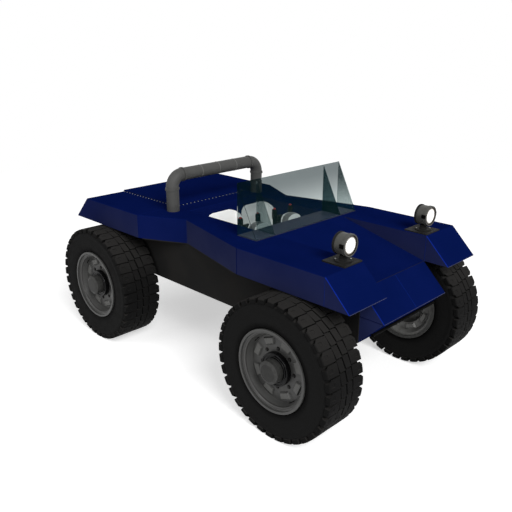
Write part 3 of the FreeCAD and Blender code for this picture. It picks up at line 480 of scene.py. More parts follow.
def piece(name, mesh, finish=None):
    made = bpy.data.objects.new(name, mesh)
    bpy.context.scene.collection.objects.link(made)
    if finish:
        mesh.materials.clear()
        mesh.materials.append(finish.material)
    return made


def as_mesh(name, shape):
    """A mesh from a bmesh, which is used up."""
    mesh = bpy.data.meshes.new(name)
    shape.to_mesh(mesh)
    shape.free()
    return mesh


def finished(name, shape):
    """A mesh from a bmesh: doubles merged, poles closed, loose edges gone and faces pointing out."""
    bmesh.ops.remove_doubles(shape, verts=shape.verts, dist=1e-6)
    bmesh.ops.delete(shape, geom=[line for line in shape.edges if not line.link_faces], context="EDGES")
    bmesh.ops.recalc_face_normals(shape, faces=shape.faces)
    return as_mesh(name, shape)


def fitted(name, mesh, finish, body, place, smooth):
    """A placed piece on a body: shaded smooth, except at edges sharper than smooth degrees."""
    mesh.transform(place)
    mesh.shade_smooth()
    mesh.set_sharp_from_angle(angle=math.radians(smooth))
    made = piece(name, mesh, finish)
    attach(made, body)
    return made


def settle(name, shape, finish, body, place=UNMOVED, smooth=30):
    """Make a fitted piece from a bmesh."""
    return fitted(name, finished(name, shape), finish, body, place, smooth)


def install(name, mesh, body, place=UNMOVED, smooth=30):
    """Make a fitted piece from a copy of a mesh that has its material already."""
    return fitted(name, mesh.copy(), None, body, place, smooth)


def frozen(host):
    """The plain mesh that an object's modifiers make of it."""
    bpy.context.view_layer.update()
    graph = bpy.context.evaluated_depsgraph_get()
    return bpy.data.meshes.new_from_object(host.evaluated_get(graph))


def polar(radius, angle, height):
    """A point from its distance to the Z axis, the angle round it, and its height."""
    return (radius * math.cos(angle), radius * math.sin(angle), height)


def skin(shape, rings, capped=True):
    """Join each ring of corners to the next one, and close the two ends."""
    for one, two in zip(rings, rings[1:]):
        for k in range(len(one)):
            j = (k + 1) % len(one)
            shape.faces.new((one[k], one[j], two[j], two[k]))
    if capped:
        shape.faces.new(rings[0][::-1])
        shape.faces.new(rings[-1])


def turned(profile, count):
    """A closed solid of revolution about Z. The profile is a closed loop of (radius, height)."""
    shape = bmesh.new()
    rings = [[shape.verts.new(polar(radius, math.tau * step / count, height)) for radius, height in profile]
             for step in range(count)]
    skin(shape, rings + rings[:1], capped=False)
    return shape


def bar(low, high, bevel=0.0, segments=2):
    """A block between two corners, with its edges rounded."""
    shape = bmesh.new()
    low, high = Vector(low), Vector(high)
    place = move(*(low + high) / 2) @ Matrix.Diagonal((*(high - low), 1))
    bmesh.ops.create_cube(shape, size=1.0, matrix=place)
    if bevel:
        bmesh.ops.bevel(shape, geom=shape.edges[:], offset=bevel, segments=segments, affect="EDGES",
                        profile=0.5)
    return shape


def hexagon(across, height):
    """A hexagon bolt head that stands on Z = 0, with a domed top."""
    radius = across / math.sqrt(3)
    steps = [(radius, 0.0), (radius, height * 0.8), (radius * 0.8, height), (radius * 0.3, height * 1.05)]
    shape = bmesh.new()
    skin(shape, [[shape.verts.new(polar(r, k * math.pi / 3, z)) for k in range(6)] for r, z in steps])
    return shape


print("piece tools ready")

# %% [markdown]
# ## Geometry Nodes for what repeats
# Nuts, bolts and tread blocks are one shape many times over. Three small trees cover them all: copies round
# an axis, copies along a line, and a coil. Each has named inputs, realizes its instances and sets the
# material, and the result is then frozen into one plain mesh.


# %% A Geometry Nodes tree, and freezing its result
class Growth(Graph):
    """A Geometry Nodes tree with named inputs that ends in Realize Instances and Set Material."""

    def __init__(self, name, **inputs):
        super().__init__(bpy.data.node_groups.new(name, "GeometryNodeTree"))
        self.tree.interface.new_socket("Shape", in_out="OUTPUT", socket_type="NodeSocketGeometry")
        for label, kind in {**inputs, "Finish": "Material"}.items():
            self.tree.interface.new_socket(label, in_out="INPUT", socket_type=f"NodeSocket{kind}")
        self.start = self.tree.nodes.new("NodeGroupInput")

    def given(self, label):
        return Value(self, self.start.outputs[label])

    def close(self, shape):
        real = self.node("GeometryNodeRealizeInstances", {}, {"Geometry": shape})
        done = self.node("GeometryNodeSetMaterial", {}, {"Geometry": real, "Material": self.given("Finish")})
        out = self.tree.nodes.new("NodeGroupOutput")
        self.tree.links.new(done.socket, out.inputs["Shape"])

    def grow(self, name, finish, **values):
        """Run the tree once and return its result as a plain mesh."""
        host = piece(name, bpy.data.meshes.new(name))
        modifier = host.modifiers.new(name, "NODES")
        modifier.node_group = self.tree
        for item in self.tree.interface.items_tree:
            if item.in_out == "INPUT":
                modifier[item.identifier] = finish.material if item.name == "Finish" else values[item.name]
        mesh = frozen(host)
        bpy.data.objects.remove(host)
        return mesh


round_axis = Growth("copies_round_axis", Part="Object", Count="Int", Radius="Float", Turn="Float")
index = round_axis.node("GeometryNodeInputIndex")
angle = round_axis.given("Turn") + index * math.tau / round_axis.given("Count")
spot = round_axis.node("GeometryNodeMeshLine", {"mode": "OFFSET"},
                       {"Count": round_axis.given("Count"), "Offset": (0, 0, 0)})
turn = round_axis.node("ShaderNodeCombineXYZ", {}, {"Z": angle})
part = round_axis.node("GeometryNodeObjectInfo", {}, {"Object": round_axis.given("Part")}, "Geometry")
outward = round_axis.node("ShaderNodeCombineXYZ", {}, {"X": round_axis.given("Radius")})
part = round_axis.node("GeometryNodeTransform", {}, {"Geometry": part, "Translation": outward})
round_axis.close(round_axis.node("GeometryNodeInstanceOnPoints", {},
                                 {"Points": spot, "Instance": part, "Rotation": turn}))

along_line = Growth("copies_along_line", Part="Object", Count="Int", Start="Vector", End="Vector")
spot = along_line.node("GeometryNodeMeshLine", {"mode": "END_POINTS"},
                       {"Count": along_line.given("Count"), "Start Location": along_line.given("Start"),
                        "Offset": along_line.given("End")})
part = along_line.node("GeometryNodeObjectInfo", {}, {"Object": along_line.given("Part")}, "Geometry")
along_line.close(along_line.node("GeometryNodeInstanceOnPoints", {}, {"Points": spot, "Instance": part}))

coil = Growth("coil_spring", Turns="Float", Radius="Float", Height="Float", Wire="Float")
helix = coil.node("GeometryNodeCurveSpiral", {},
                  {"Resolution": 24, "Rotations": coil.given("Turns"), "Start Radius": coil.given("Radius"),
                   "End Radius": coil.given("Radius"), "Height": coil.given("Height")})
section = coil.node("GeometryNodeCurvePrimitiveCircle", {}, {"Resolution": 10, "Radius": coil.given("Wire")})
coil.close(coil.node("GeometryNodeCurveToMesh", {},
                     {"Curve": helix, "Profile Curve": section, "Fill Caps": True}))
print("trees", [tree.name for tree in bpy.data.node_groups])


# %% Repeat one part
def repeated(tree, name, shape, finish, **values):
    """Copies of one part, which is removed once the tree has used it."""
    part = piece("pattern", finished("pattern", shape))
    mesh = tree.grow(name, finish, Part=part, **values)
    bpy.data.objects.remove(part)
    return mesh


def ring_of(name, shape, count, radius, finish, turn=0.0):
    return repeated(round_axis, name, shape, finish, Count=count, Radius=radius, Turn=turn)


def row_of(name, shape, count, start, end, finish):
    return repeated(along_line, name, shape, finish, Count=count, Start=start, End=end)


print("repeat tools ready")

# %% [markdown]
# ## Tyres
# An off-road tyre is a smooth carcass with blocks moulded onto it: a wide block on each shoulder that wraps
# down the sidewall, and two rows of small blocks in the middle, set out of step with each other. One pitch
# of that tread is modelled as four blocks, and the tree copies it round the axle. The carcass is turned on
# the lathe.

# %% One pitch of tread
PITCHES = 36
pitch = math.tau / PITCHES
half_block = pitch * 0.458
LEAN = 0.10
BLOCK_FOOT = 0.024
CUT_FROM, CUT_RUN, CUT = 0.146, 0.024, 0.60
HOLLOW_FROM, HOLLOW_TO, HOLLOW_DEPTH = 0.118, 0.149, 0.0025


def tread_block(shape, outline, middle, skew, hollowed):
    """A block round an angle. The outline is a loop of (across, depth under the tread's top).

    The block leans, and skews from one end to the other. A shoulder block's far corner is cut back, and a
    shallow hollow is pressed into its top.
    """
    rings = []
    for share in (-1.0, -0.34, -0.28, 0.28, 0.34, 1.0) if hollowed else (-1.0, 1.0):
        ring = []
        for across, depth in outline:
            corner = min(1.0, max(0.0, (abs(across) - CUT_FROM) / CUT_RUN))
            cut = CUT if share > 0 else 0.0
            a = middle + share * half_block * (1 - cut * corner) + LEAN * across
            pressed = hollowed and HOLLOW_FROM < abs(across) < HOLLOW_TO and abs(share) < 0.3
            radius = tread_radius - depth - (HOLLOW_DEPTH if pressed else 0.0)
            ring.append(shape.verts.new(polar(radius, a, across + share * skew)))
        rings.append(ring)
    skin(shape, rings)


edge = tyre_half - 0.0015
shoulder = [(0.0635, BLOCK_FOOT), (0.0635, 0.0015), (0.065, 0.0), (0.117, 0.0), (0.119, 0.0), (0.148, 0.0002),
            (0.150, 0.0004), (edge - 0.007, 0.0008), (edge - 0.004, 0.003), (edge, 0.009), (edge, 0.034),
            (edge - 0.010, 0.040)]
inside = [(0.0045, BLOCK_FOOT), (0.0045, 0.0015), (0.0065, 0.0), (0.0565, 0.0), (0.0585, 0.0015),
          (0.0585, BLOCK_FOOT)]
tread = bmesh.new()
for outline, side, step, skew in ((shoulder, 1, 0.0, 0.0), (inside, 1, 0.10, 0.004),
                                  (inside, -1, 0.22, 0.004), (shoulder, -1, 0.34, 0.0)):
    tread_block(tread, [(side * y, depth) for y, depth in outline], pitch * step, skew, outline is shoulder)
tread_mesh = ring_of("tread", tread, PITCHES, 0.0, rubber)
print("tread", PITCHES, "pitches,", len(tread_mesh.polygons), "faces")

# %% Carcass, and one tyre for each wheel
rim_low, rim_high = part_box("front_left_rim")
rim_radius = (rim_high.z - rim_low.z) / 2
BEAD_SEAT = rim_radius - 0.0115
DRAWN_RADIUS = 0.510
outer = [(0.1577, BEAD_SEAT), (0.1577, rim_radius + 0.002), (0.1630, rim_radius + 0.010),
         (0.1650, rim_radius + 0.020), (0.1635, rim_radius + 0.026), (0.1680, rim_radius + 0.045),
         (0.1715, 0.385)]
outer += [(across, radius + (tread_radius - DRAWN_RADIUS)) for across, radius in (
    (0.1728, 0.415), (0.1722, 0.436), (0.1735, 0.440), (0.1738, 0.458), (0.1716, 0.468), (0.1660, 0.476),
    (0.1560, 0.4830), (0.1200, 0.4885), (0.0600, 0.4900))]
inner = [(0.0600, 0.466), (0.1150, 0.460), (0.1460, 0.430), (0.1480, 0.386), (0.1340, BEAD_SEAT)]
halves = ((outer, 1), (outer[::-1], -1), (inner[::-1], -1), (inner, 1))
carcass = turned([(radius, way * across) for points, way in halves for across, radius in points], 144)
carcass.from_mesh(tread_mesh)
bmesh.ops.recalc_face_normals(carcass, faces=carcass.faces)
tyre_mesh = as_mesh("tyre", carcass)
tyre_mesh.materials.append(rubber.material)


def wheel_place(corner):
    """From the lathe's axis to one wheel, with the lathe's +Z on the wheel's outer face."""
    low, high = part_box(f"{corner}_tyre")
    facing_out = spin(0 if corner.endswith("left") else 180, "Z")
    return move(*(low + high) / 2) @ facing_out @ LATHE_TO_Y


wheels = [(corner, wheel_place(corner), f"{corner}_wheel") for corner in CORNERS]
for corner, place, body in wheels:
    made = install(f"{corner}_tyre_tread", tyre_mesh, body, place, 32)
    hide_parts(f"{corner}_tyre")
print("tyres", len(tyre_mesh.polygons), "faces each")

# %% [markdown]
# ## Wheel trim
# The hub cap has a bevel and a collar; the bevel is painted lighter than the cap, a painted highlight.
# Round it lies a glossy black ring with two raised beads. Nuts sit in the recesses between the stamped
# ribs; they and the black seats under them are near black, a painted shade that darkens the recesses.
# Two black strips on the dish are painted shade that stands for two slots. Behind the wheel a stamped
# ring with ribs of its own closes the barrel, and a ribbed brake plate, which doesn't turn, closes the
# ring; both are in an alloy painted lighter than the rim, painted light against the shade inside the
# barrel. Rings are turned, and ribs and nuts are copied round the axle.

# %% Hub cap and hub ring
CAP = 0.0802
HUB_RING = 0.1215
RING_FACE = 0.1262
cap_profile = [(0.0, 0.1976), (0.0, 0.1992), (0.0595, 0.1992), (0.0610, 0.1980), (0.0595, 0.1974)]
bevel_profile = [(0.0610, 0.1980), (0.0828, 0.1862), (0.0832, 0.1840), (CAP, 0.1840), (CAP, 0.1862),
                 (0.0600, 0.1974)]
collar_profile = [(CAP, 0.1838), (0.0822, 0.1838), (0.0822, 0.1610), (0.0812, 0.1600), (0.0812, 0.1585),
                  (0.0840, 0.1570), (0.0840, 0.1300), (CAP, 0.1300)]


def bead(radius, height, size):
    """Half a circle on a ring's face, from the inside to the outside."""
    angles = [k * math.pi / 6 for k in range(7)]
    return [(radius - size * math.cos(a), height + size * math.sin(a)) for a in angles]


ring_profile = [(0.0805, RING_FACE), *bead(0.0945, RING_FACE, 0.0055),
                *bead(HUB_RING - 0.0070, RING_FACE, 0.0070), (HUB_RING, 0.0922), (HUB_RING - 0.0012, 0.0922),
                (HUB_RING - 0.0012, 0.1252), (0.0805, 0.1252)]
# The cap's bevel is painted a lighter grey than the cap: a painted highlight.
HUB_PARTS = (("hub_cap", cap_profile, "cap_grey"), ("cap_bevel", bevel_profile, "machined_edge"),
             ("cap_collar", collar_profile, "cap_grey"), ("hub_ring", ring_profile, "gloss_black"))
for corner, place, body in wheels:
    for part, profile, finish in HUB_PARTS:
        settle(f"{corner}_{part}", turned(profile, 72), plain[finish], body, place, 35)
print("hub caps on", len(wheels), "wheels")

# %% Nuts, slots and valve
RIBS = 8
ARC_STEPS = 10
NUT_CIRCLE = 0.146
NUT_FOOT, NUT_SEAT_FOOT = 0.0865, 0.0852
VALVE_CIRCLE = 0.243
DISC_FACE = 0.092
barrel = rim_radius - 0.022


def arc_strip(shape, profile, middle, spread):
    """A strip bent round the axle: a closed profile of (radius, height) swept over an angle."""
    angles = [middle + spread * (step / ARC_STEPS - 0.5) for step in range(ARC_STEPS + 1)]
    skin(shape, [[shape.verts.new(polar(r, a, z)) for r, z in profile] for a in angles])


shade_seat_profile = [(0.0, 0.0), (0.0180, 0.0), (0.0180, 0.0012), (0.0, 0.0020)]
slot_shade_profile = [(0.2430, 0.1075), (0.2462, 0.1156), (0.2440, 0.1162), (0.2410, 0.1080)]
valve_profile = [(0.0, 0.034), (0.0035, 0.033), (0.0035, 0.024), (0.0055, 0.022), (0.0065, 0.004),
                 (0.0085, 0.0), (0.0, 0.0)]
# Painted shade: the nuts are near black, and a black seat lies under each, so that the recesses read dark.
nut_mesh = ring_of("wheel_nuts", hexagon(0.022, 0.013), RIBS, NUT_CIRCLE, plain["dark_steel"])
shade_seat_mesh = ring_of("nut_seats", turned(shade_seat_profile, 20), RIBS, NUT_CIRCLE, plain["gloss_black"])
# Painted shade: two black strips on the dish stand for the dark inside of two slots.
slot_shade_shape = bmesh.new()
for degrees in (-42, 128):
    arc_strip(slot_shade_shape, slot_shade_profile, math.radians(degrees), math.radians(12))
slot_shade_mesh = finished("slots", slot_shade_shape)
slot_shade_mesh.materials.append(plain["gloss_black"].material)
valve_at = spin(202.5, "Z") @ move(VALVE_CIRCLE, 0, DISC_FACE)
for corner, place, body in wheels:
    for part, mesh, height in (("wheel_nuts", nut_mesh, NUT_FOOT), ("nut_seats", shade_seat_mesh, NUT_SEAT_FOOT),
                               ("dish_slots", slot_shade_mesh, 0.0)):
        install(f"{corner}_{part}", mesh, body, place @ move(0, 0, height))
    valve = turned(valve_profile, 16)
    settle(f"{corner}_valve", valve, plain["gloss_black"], body, place @ valve_at)
print("nuts, slots and valves fitted")

# %% Inner ring and brake plate, with their ribs
INNER_FACE = -0.120
BRAKE_FACE = -0.035
inner_profile = [(0.1780, INNER_FACE + 0.004), (0.1780, INNER_FACE), (0.2360, INNER_FACE),
                 (barrel - 0.0006, -0.1560), (barrel - 0.0006, -0.1590), (0.2580, -0.1590), (0.2540, -0.1540),
                 (0.2340, INNER_FACE - 0.002), (0.2320, INNER_FACE + 0.004)]
flange_steps = [(0.0005, -0.1718), (0.0005, -0.1745), (0.0060, -0.1750), (0.0075, -0.1735), (0.0105, -0.1735),
                (0.0120, -0.1745)]
flange_profile = [(rim_radius - step, height) for step, height in flange_steps]
flange_profile += [(barrel, -0.1745), (barrel, -0.1718)]
brake_profile = [(0.084, BRAKE_FACE), (0.084, BRAKE_FACE - 0.002), (0.090, BRAKE_FACE - 0.004),
                 (0.222, BRAKE_FACE - 0.004), (0.226, BRAKE_FACE)]


def stamped_rib(*levels):
    """A raised block between two levels, each a height, an inner and outer radius, and half its degrees."""
    shape = bmesh.new()
    rings = []
    for height, near, far, half in levels:
        corners = ((near, -half), (far, -half), (far, half), (near, half))
        rings.append([shape.verts.new(polar(r, math.radians(a), height)) for r, a in corners])
    skin(shape, rings)
    return shape


# Painted light: the inner ring, its ribs and the brake plate are in an alloy lighter than the rim, against
# the shade inside the barrel.
inner_alloy = plain["inner_alloy"]
inner_rib = stamped_rib((INNER_FACE + 0.0005, 0.184, 0.232, 13.5), (INNER_FACE - 0.016, 0.194, 0.222, 10.0))
inner_ribs = ring_of("inner_ribs", inner_rib, RIBS, 0.0, inner_alloy, math.radians(22.5))
brake_rib = stamped_rib((BRAKE_FACE - 0.0035, 0.100, 0.168, 14.0), (BRAKE_FACE - 0.012, 0.110, 0.160, 9.0))
brake_ribs = ring_of("brake_ribs", brake_rib, RIBS, 0.0, inner_alloy)
for corner, place, body in wheels:
    holder = f"{corner}_knuckle" if corner.startswith("front") else "buggy_body"
    ring, flange, plate = (turned(profile, 72) for profile in (inner_profile, flange_profile, brake_profile))
    settle(f"{corner}_inner_ring", ring, inner_alloy, body, place, 20)
    settle(f"{corner}_inner_flange", flange, plain["machined_edge"], body, place, 20)
    install(f"{corner}_inner_ribs", inner_ribs, body, place, 10)
    settle(f"{corner}_brake_plate", plate, inner_alloy, holder, place, 20)
    install(f"{corner}_brake_ribs", brake_ribs, holder, place, 10)
print("inner rings fitted")

# %% [markdown]
# ## Springs
# Each axle is carried by two dampers, and a coil spring sits round each between its two steel seats. The
# helix is a curve primitive with a round section. Its ends stop a hair short of the seats, so that no steel
# cuts another.

# %% Coil springs on the dampers
DAMPER_Y = 0.25
SEAT = 0.008
AXLE_TOP = 0.036
WIRE = 0.0048
END_ROOM = 0.005
spring_low, spring_high = hub.z + AXLE_TOP + SEAT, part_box("cockpit_tub")[0].z - SEAT
coil_mesh = coil.grow("coil", plain["chassis_black"], Turns=4.0, Radius=0.034, Wire=WIRE,
                      Height=spring_high - spring_low - 2 * END_ROOM)
for end, along in (("front", hub.x), ("rear", -hub.x)):
    for side, sign in SIDES:
        install(f"{end}_{side}_spring", coil_mesh, "buggy_body",
                move(along, sign * DAMPER_Y, spring_low + END_ROOM))
print("springs from", round(spring_low, 3), "to", round(spring_high, 3))

# %% [markdown]
# ## Roll bar
# The bar is welded from lengths of tube, so three thin seams show on the crossbar, and each leg has a
# collar.

# %% Seams and collars
TUBE = 0.0535
CROSSBAR_UP, COLLAR_UP = 0.300, 0.185
SEAM_STEP = 0.2
bar_low, bar_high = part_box("roll_bar")
bar_x, bar_z = (bar_low.x + bar_high.x) / 2, deck_z + CROSSBAR_UP
for step in (-1, 0, 1):
    seam = turned([(TUBE, -0.003), (0.0555, -0.0022), (0.0555, 0.0022), (TUBE, 0.003)], 48)
    settle(f"roll_bar_seam_{step + 2}", seam, plain["weld_grey"], "buggy_body",
           move(bar_x, step * SEAM_STEP, bar_z) @ LATHE_TO_Y)
for side, sign in SIDES:
    collar = turned([(TUBE, -0.006), (0.0570, -0.005), (0.0570, 0.005), (TUBE, 0.006)], 48)
    settle(f"{side}_roll_bar_collar", collar, plain["bar_grey"], "buggy_body",
           move(bar_x, sign * (bar_high.y - TUBE), deck_z + COLLAR_UP))
print("roll bar trimmed")

# %% [markdown]
# ## Engine cover hinge
# The cover turns on a barrel along its front edge, so a painted leaf lies there on the deck, held by a row
# of small screws. The same screws run along the deck beside the cover, where they hold its weather strip. A
# row is one screw that the tree repeats along a line.

# %% Leaf, weather strips and screws
SCREWS = 18
SCREW_ACROSS, SCREW_HEIGHT = 0.007, 0.003
LEAF_FROM, LEAF_TO = 0.008, 0.030
STRIP_WIDTH, STRIP_HEIGHT = 0.018, 0.0015
strip_top = deck_z + STRIP_HEIGHT
hinge = next(Vector(joint["pos_m"]) for joint in frame["joints"] if joint["name"] == "engine_cover_hinge")
cover_low, cover_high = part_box("engine_cover")
half = cover_high.y
leaf = bar((hinge.x + LEAF_FROM, -half + 0.02, deck_z), (hinge.x + LEAF_TO, half - 0.02, strip_top))
settle("cover_hinge_leaf", leaf, paint, "buggy_body")
leaf_row = row_of("leaf_screws", hexagon(SCREW_ACROSS, SCREW_HEIGHT), SCREWS, (0, 0.035 - half, 0),
                  (0, half - 0.035, 0), plain["screw_grey"])
install("cover_leaf_screws", leaf_row, "buggy_body",
        move(hinge.x + (LEAF_FROM + LEAF_TO) / 2, 0, strip_top))
strip_row = row_of("strip_screws", hexagon(SCREW_ACROSS, SCREW_HEIGHT), SCREWS,
                   (cover_low.x + 0.03, 0, 0), (hinge.x - 0.03, 0, 0), plain["screw_grey"])
for side, sign in SIDES:
    strip = bar((cover_low.x + 0.01, sign * half + min(0, sign * STRIP_WIDTH), deck_z),
                (hinge.x - 0.015, sign * half + max(0, sign * STRIP_WIDTH), strip_top))
    settle(f"{side}_cover_strip", strip, paint, "buggy_body")
    install(f"{side}_strip_screws", strip_row, "buggy_body",
            move(0, sign * (half + STRIP_WIDTH / 2), strip_top))
print("hinge at", short(hinge, 4))

# %% [markdown]
# ## Lamps
# Each lamp is a grey bowl with a dark band round its back and a grooved bezel in front, where two clips
# hold a domed lens over a silvered reflector and a bulb. It sits on a swivel foot, which is bolted to a
# black plate. Everything is turned or built about the lamp's own axis, which points forward. The bowls
# stand for the frame's plain ones.

# %% Lamp profiles
LAMP_RADIUS = 0.0775
LAMP_AHEAD = 0.013
BASE_PLATE = 0.010
bowl_profile = [(0.0, -0.0520), (0.0600, -0.0520), (0.0715, -0.0460), (0.0735, -0.0400), (0.0735, 0.0440),
                (0.0700, 0.0440), (0.0695, -0.0400), (0.0560, -0.0480), (0.0, -0.0480)]
band_profile = [(0.0560, -0.0525), (0.0700, -0.0510), (0.0765, -0.0470), (LAMP_RADIUS, -0.0430),
                (LAMP_RADIUS, -0.0330), (0.0768, -0.0310), (0.0733, -0.0305), (0.0730, -0.0400),
                (0.0710, -0.0450), (0.0590, -0.0515)]
bezel_profile = [(0.0733, 0.0260), (0.0765, 0.0265), (LAMP_RADIUS, 0.0280), (LAMP_RADIUS, 0.0330),
                 (0.0762, 0.0337), (0.0762, 0.0352), (LAMP_RADIUS, 0.0360), (LAMP_RADIUS, 0.0500),
                 (0.0765, 0.0530), (0.0735, 0.0545), (0.0690, 0.0535), (0.0682, 0.0500), (0.0700, 0.0470),
                 (0.0733, 0.0440)]
lens_profile = [(0.0, 0.0515), (0.0240, 0.0508), (0.0440, 0.0496), (0.0600, 0.0480), (0.0698, 0.0465),
                (0.0698, 0.0445), (0.0, 0.0470)]
dish_profile = [(0.014 + 0.053 * t, -0.020 + 0.056 * t * t) for t in (0.0, 0.25, 0.5, 0.75, 1.0)]
dish_profile += [(r + 0.0012, z - 0.0004) for r, z in reversed(dish_profile)]
foot_profile = [(0.0, 0.0), (0.062, 0.0), (0.062, 0.006), (0.056, 0.010), (0.034, 0.010), (0.028, 0.016),
                (0.024, 0.040), (0.0, 0.044)]
LAMP_PARTS = (("bowl", bowl_profile, plain["lamp_grey"], "lamp_housing"),
              ("back_band", band_profile, plain["lamp_black"], "lamp_base"),
              ("bezel", bezel_profile, plain["lamp_grey"], "lamp_housing"),
              ("lens", lens_profile, lens_glass, "lens"),
              ("reflector", dish_profile, plain["reflector_silver"], "lamp_housing"))
print("lamps are", 2 * LAMP_RADIUS, "m across")

# %% Build the lamps
for side, sign in SIDES:
    bowl_low, bowl_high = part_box(f"{side}_lamp_housing")
    plate_low, plate_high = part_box(f"{side}_lamp_base")
    centre = (bowl_low + bowl_high) / 2 + Vector((LAMP_AHEAD, 0, LAMP_LIFT))
    at_lamp = move(*centre)
    forward = at_lamp @ LATHE_TO_X
    for part, profile, finish, slot in LAMP_PARTS:
        made = settle(f"{side}_lamp_{part}", turned(profile, 72), finish, "buggy_body", forward, 20)
        if part == "bowl":
            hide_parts(f"{side}_lamp_housing")
        elif part == "lens":
            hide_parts("lamp_lenses")
    bulb = bmesh.new()
    bmesh.ops.create_uvsphere(bulb, u_segments=16, v_segments=10, radius=0.011, matrix=move(0, 0, -0.004))
    settle(f"{side}_lamp_bulb", bulb, bulb_glow, "buggy_body", forward)
    for name, turn in (("outer", 1), ("inner", -1)):
        clip = bar((-0.017, -0.004, -0.014), (0.017, 0.006, 0.014), 0.0015)
        settle(f"{side}_lamp_{name}_clip", clip, plain["skid_black"], "buggy_body",
               at_lamp @ move(0.034, turn * LAMP_RADIUS, 0.006))
    at_foot = move((plate_low.x + plate_high.x) / 2 + 0.008, centre.y, deck_z + BASE_PLATE)
    foot = turned(foot_profile, 40)
    settle(f"{side}_lamp_foot", foot, plain["lamp_black"], "buggy_body", at_foot)
    bolts = row_of("lamp_bolts", hexagon(0.010, 0.006), 2, (-0.036, -0.036, 0.009), (0.036, 0.036, 0.009),
                   plain["zinc"])
    install(f"{side}_lamp_bolts", bolts, "buggy_body", at_foot)
    bracket = bar((-0.003, -0.008, 0.0), (0.003, 0.008, 0.020), 0.001)
    settle(f"{side}_lamp_bracket", bracket, plain["zinc"], "buggy_body",
           at_foot @ move(-0.034, 0.038, 0.008))
print("lamps fitted, axis at height", round(centre.z, 3))

# %% [markdown]
# ## Nose and fender edges
# The sheet metal ends in folded edges along the bottom of the fenders and the tip of the nose, painted a
# light violet as a painted highlight. A lighter crease runs up each side of a fender's front. The nose is
# welded from two halves, so a seam runs down its middle and one along each side; the creases and the
# middle seam are painted a lighter blue, a painted highlight. A black skid bar guards the nose; it is near
# black, so that it also stands for the shade under the nose's edge.

# %% Folded edges, seams and skid bar
SKID = 0.013
SKID_AHEAD = 0.108
SEAM_HALF = 0.0013
FOLD_BEVEL = 0.0006
SLOPE = 45
nose_low, nose_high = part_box("nose_panel")
fender_low, fender_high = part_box("left_fender")
tip = Vector((nose_high.x, nose_high.y, (nose_low.z + nose_high.z) / 2))
for side, sign in SIDES:
    low, high = sorted((sign * (fender_low.y + 0.003), sign * (fender_high.y - 0.003)))
    # Painted highlight: each fold is a light violet strip.
    fold = bar((fender_high.x - 0.002, low, band_z - 0.001), (fender_high.x + 0.0015, high, band_z + 0.0022),
               FOLD_BEVEL)
    settle(f"{side}_fender_fold", fold, plain["edge_violet"], "buggy_body")
    # Painted highlight: the creases are lighter blue strips.
    for name, across in (("outer", fender_high.y), ("inner", fender_low.y)):
        crease = bar((nose_low.x - 0.0009, sign * across - 0.0008, band_z + 0.002),
                     (nose_low.x + 0.0009, sign * across + 0.0008, deck_z - 0.007))
        settle(f"{side}_fender_{name}_crease", crease, plain["seam_blue"], "buggy_body")
    seam = bar((nose_low.x, sign * tip.y - 0.0012, tip.z - 0.0015),
               (tip.x - 0.006, sign * tip.y + 0.0012, tip.z + 0.0015))
    settle(f"{side}_nose_seam", seam, plain["seam_dark"], "buggy_body")
fold = bar((tip.x - 0.003, -tip.y + 0.003, tip.z - 0.002), (tip.x + 0.0015, tip.y - 0.003, tip.z + 0.0018),
           FOLD_BEVEL)
settle("nose_fold", fold, plain["edge_violet"], "buggy_body")
run = (nose_high.z - tip.z) / math.sin(math.radians(SLOPE))
# Painted highlight: the middle seam is a lighter blue strip.
middle_seam = bar((0.004, -SEAM_HALF, -0.0008), (run - 0.006, SEAM_HALF, 0.0012))
settle("nose_middle_seam", middle_seam, plain["seam_blue"], "buggy_body",
       move(nose_low.x, 0, nose_high.z) @ spin(SLOPE, "Y"))
# The skid bar is near black, so that it also stands for the shade under the nose's edge: partly painted
# shade.
skid = turned([(0.0, -tip.y), (SKID * 0.8, -tip.y), (SKID, -tip.y + 0.003), (SKID, tip.y - 0.003),
               (SKID * 0.8, tip.y), (0.0, tip.y)], 20)
skid_x = nose_low.x + SKID_AHEAD
skid_z = tip.z - (tip.x - skid_x) * math.tan(math.radians(SLOPE)) - SKID * 1.25
settle("skid_bar", skid, plain["skid_black"], "buggy_body",
       move(skid_x, 0, skid_z) @ LATHE_TO_Y)
print("nose tip at", short(tip), "slope", SLOPE)

# %% [markdown]
# ## Controls
# The yokes are plain tubes in the frame. Here each gets a padded hub between its grips, and each grip a
# rubber sleeve with finger ridges and a red button on its tip.

# %% Yoke hubs, ridges and buttons
GRIP_Y = 0.1
HUB_AHEAD, HUB_DOWN = 0.015, 0.130
sleeve_profile = [(0.0, -0.088), (0.017, -0.088), (0.021, -0.080), (0.021, -0.010), (0.018, -0.001),
                  (0.0, -0.001)]
ridge_profile = [(0.0205, -0.002), (0.0226, -0.001), (0.0226, 0.001), (0.0205, 0.002)]
button_profile = [(0.0, 0.0), (0.0120, 0.0), (0.0120, 0.004), (0.0080, 0.009), (0.0, 0.010)]
grip_rubber = plain["grip_rubber"]
for side, sign in SIDES:
    low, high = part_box(f"{side}_control_yoke")
    bar_at = Vector((low.x + HUB_AHEAD, (low.y + high.y) / 2, high.z - HUB_DOWN))
    hub_pad = bar((-0.058, -0.040, -0.014), (0.010, 0.040, 0.052), 0.015)
    settle(f"{side}_yoke_hub", hub_pad, grip_rubber, "buggy_body", move(*bar_at))
    for hand, way in (("outer", sign), ("inner", -sign)):
        grip = move(bar_at.x, bar_at.y + way * GRIP_Y, high.z)
        sleeve = turned(sleeve_profile, 28)
        settle(f"{side}_{hand}_grip_sleeve", sleeve, grip_rubber, "buggy_body", grip)
        ridges = row_of("ridges", turned(ridge_profile, 28), 5, (0, 0, -0.075), (0, 0, -0.019), grip_rubber)
        install(f"{side}_{hand}_grip_ridges", ridges, "buggy_body", grip)
        button = turned(button_profile, 20)
        settle(f"{side}_{hand}_grip_button", button, plain["button_red"], "buggy_body", grip)
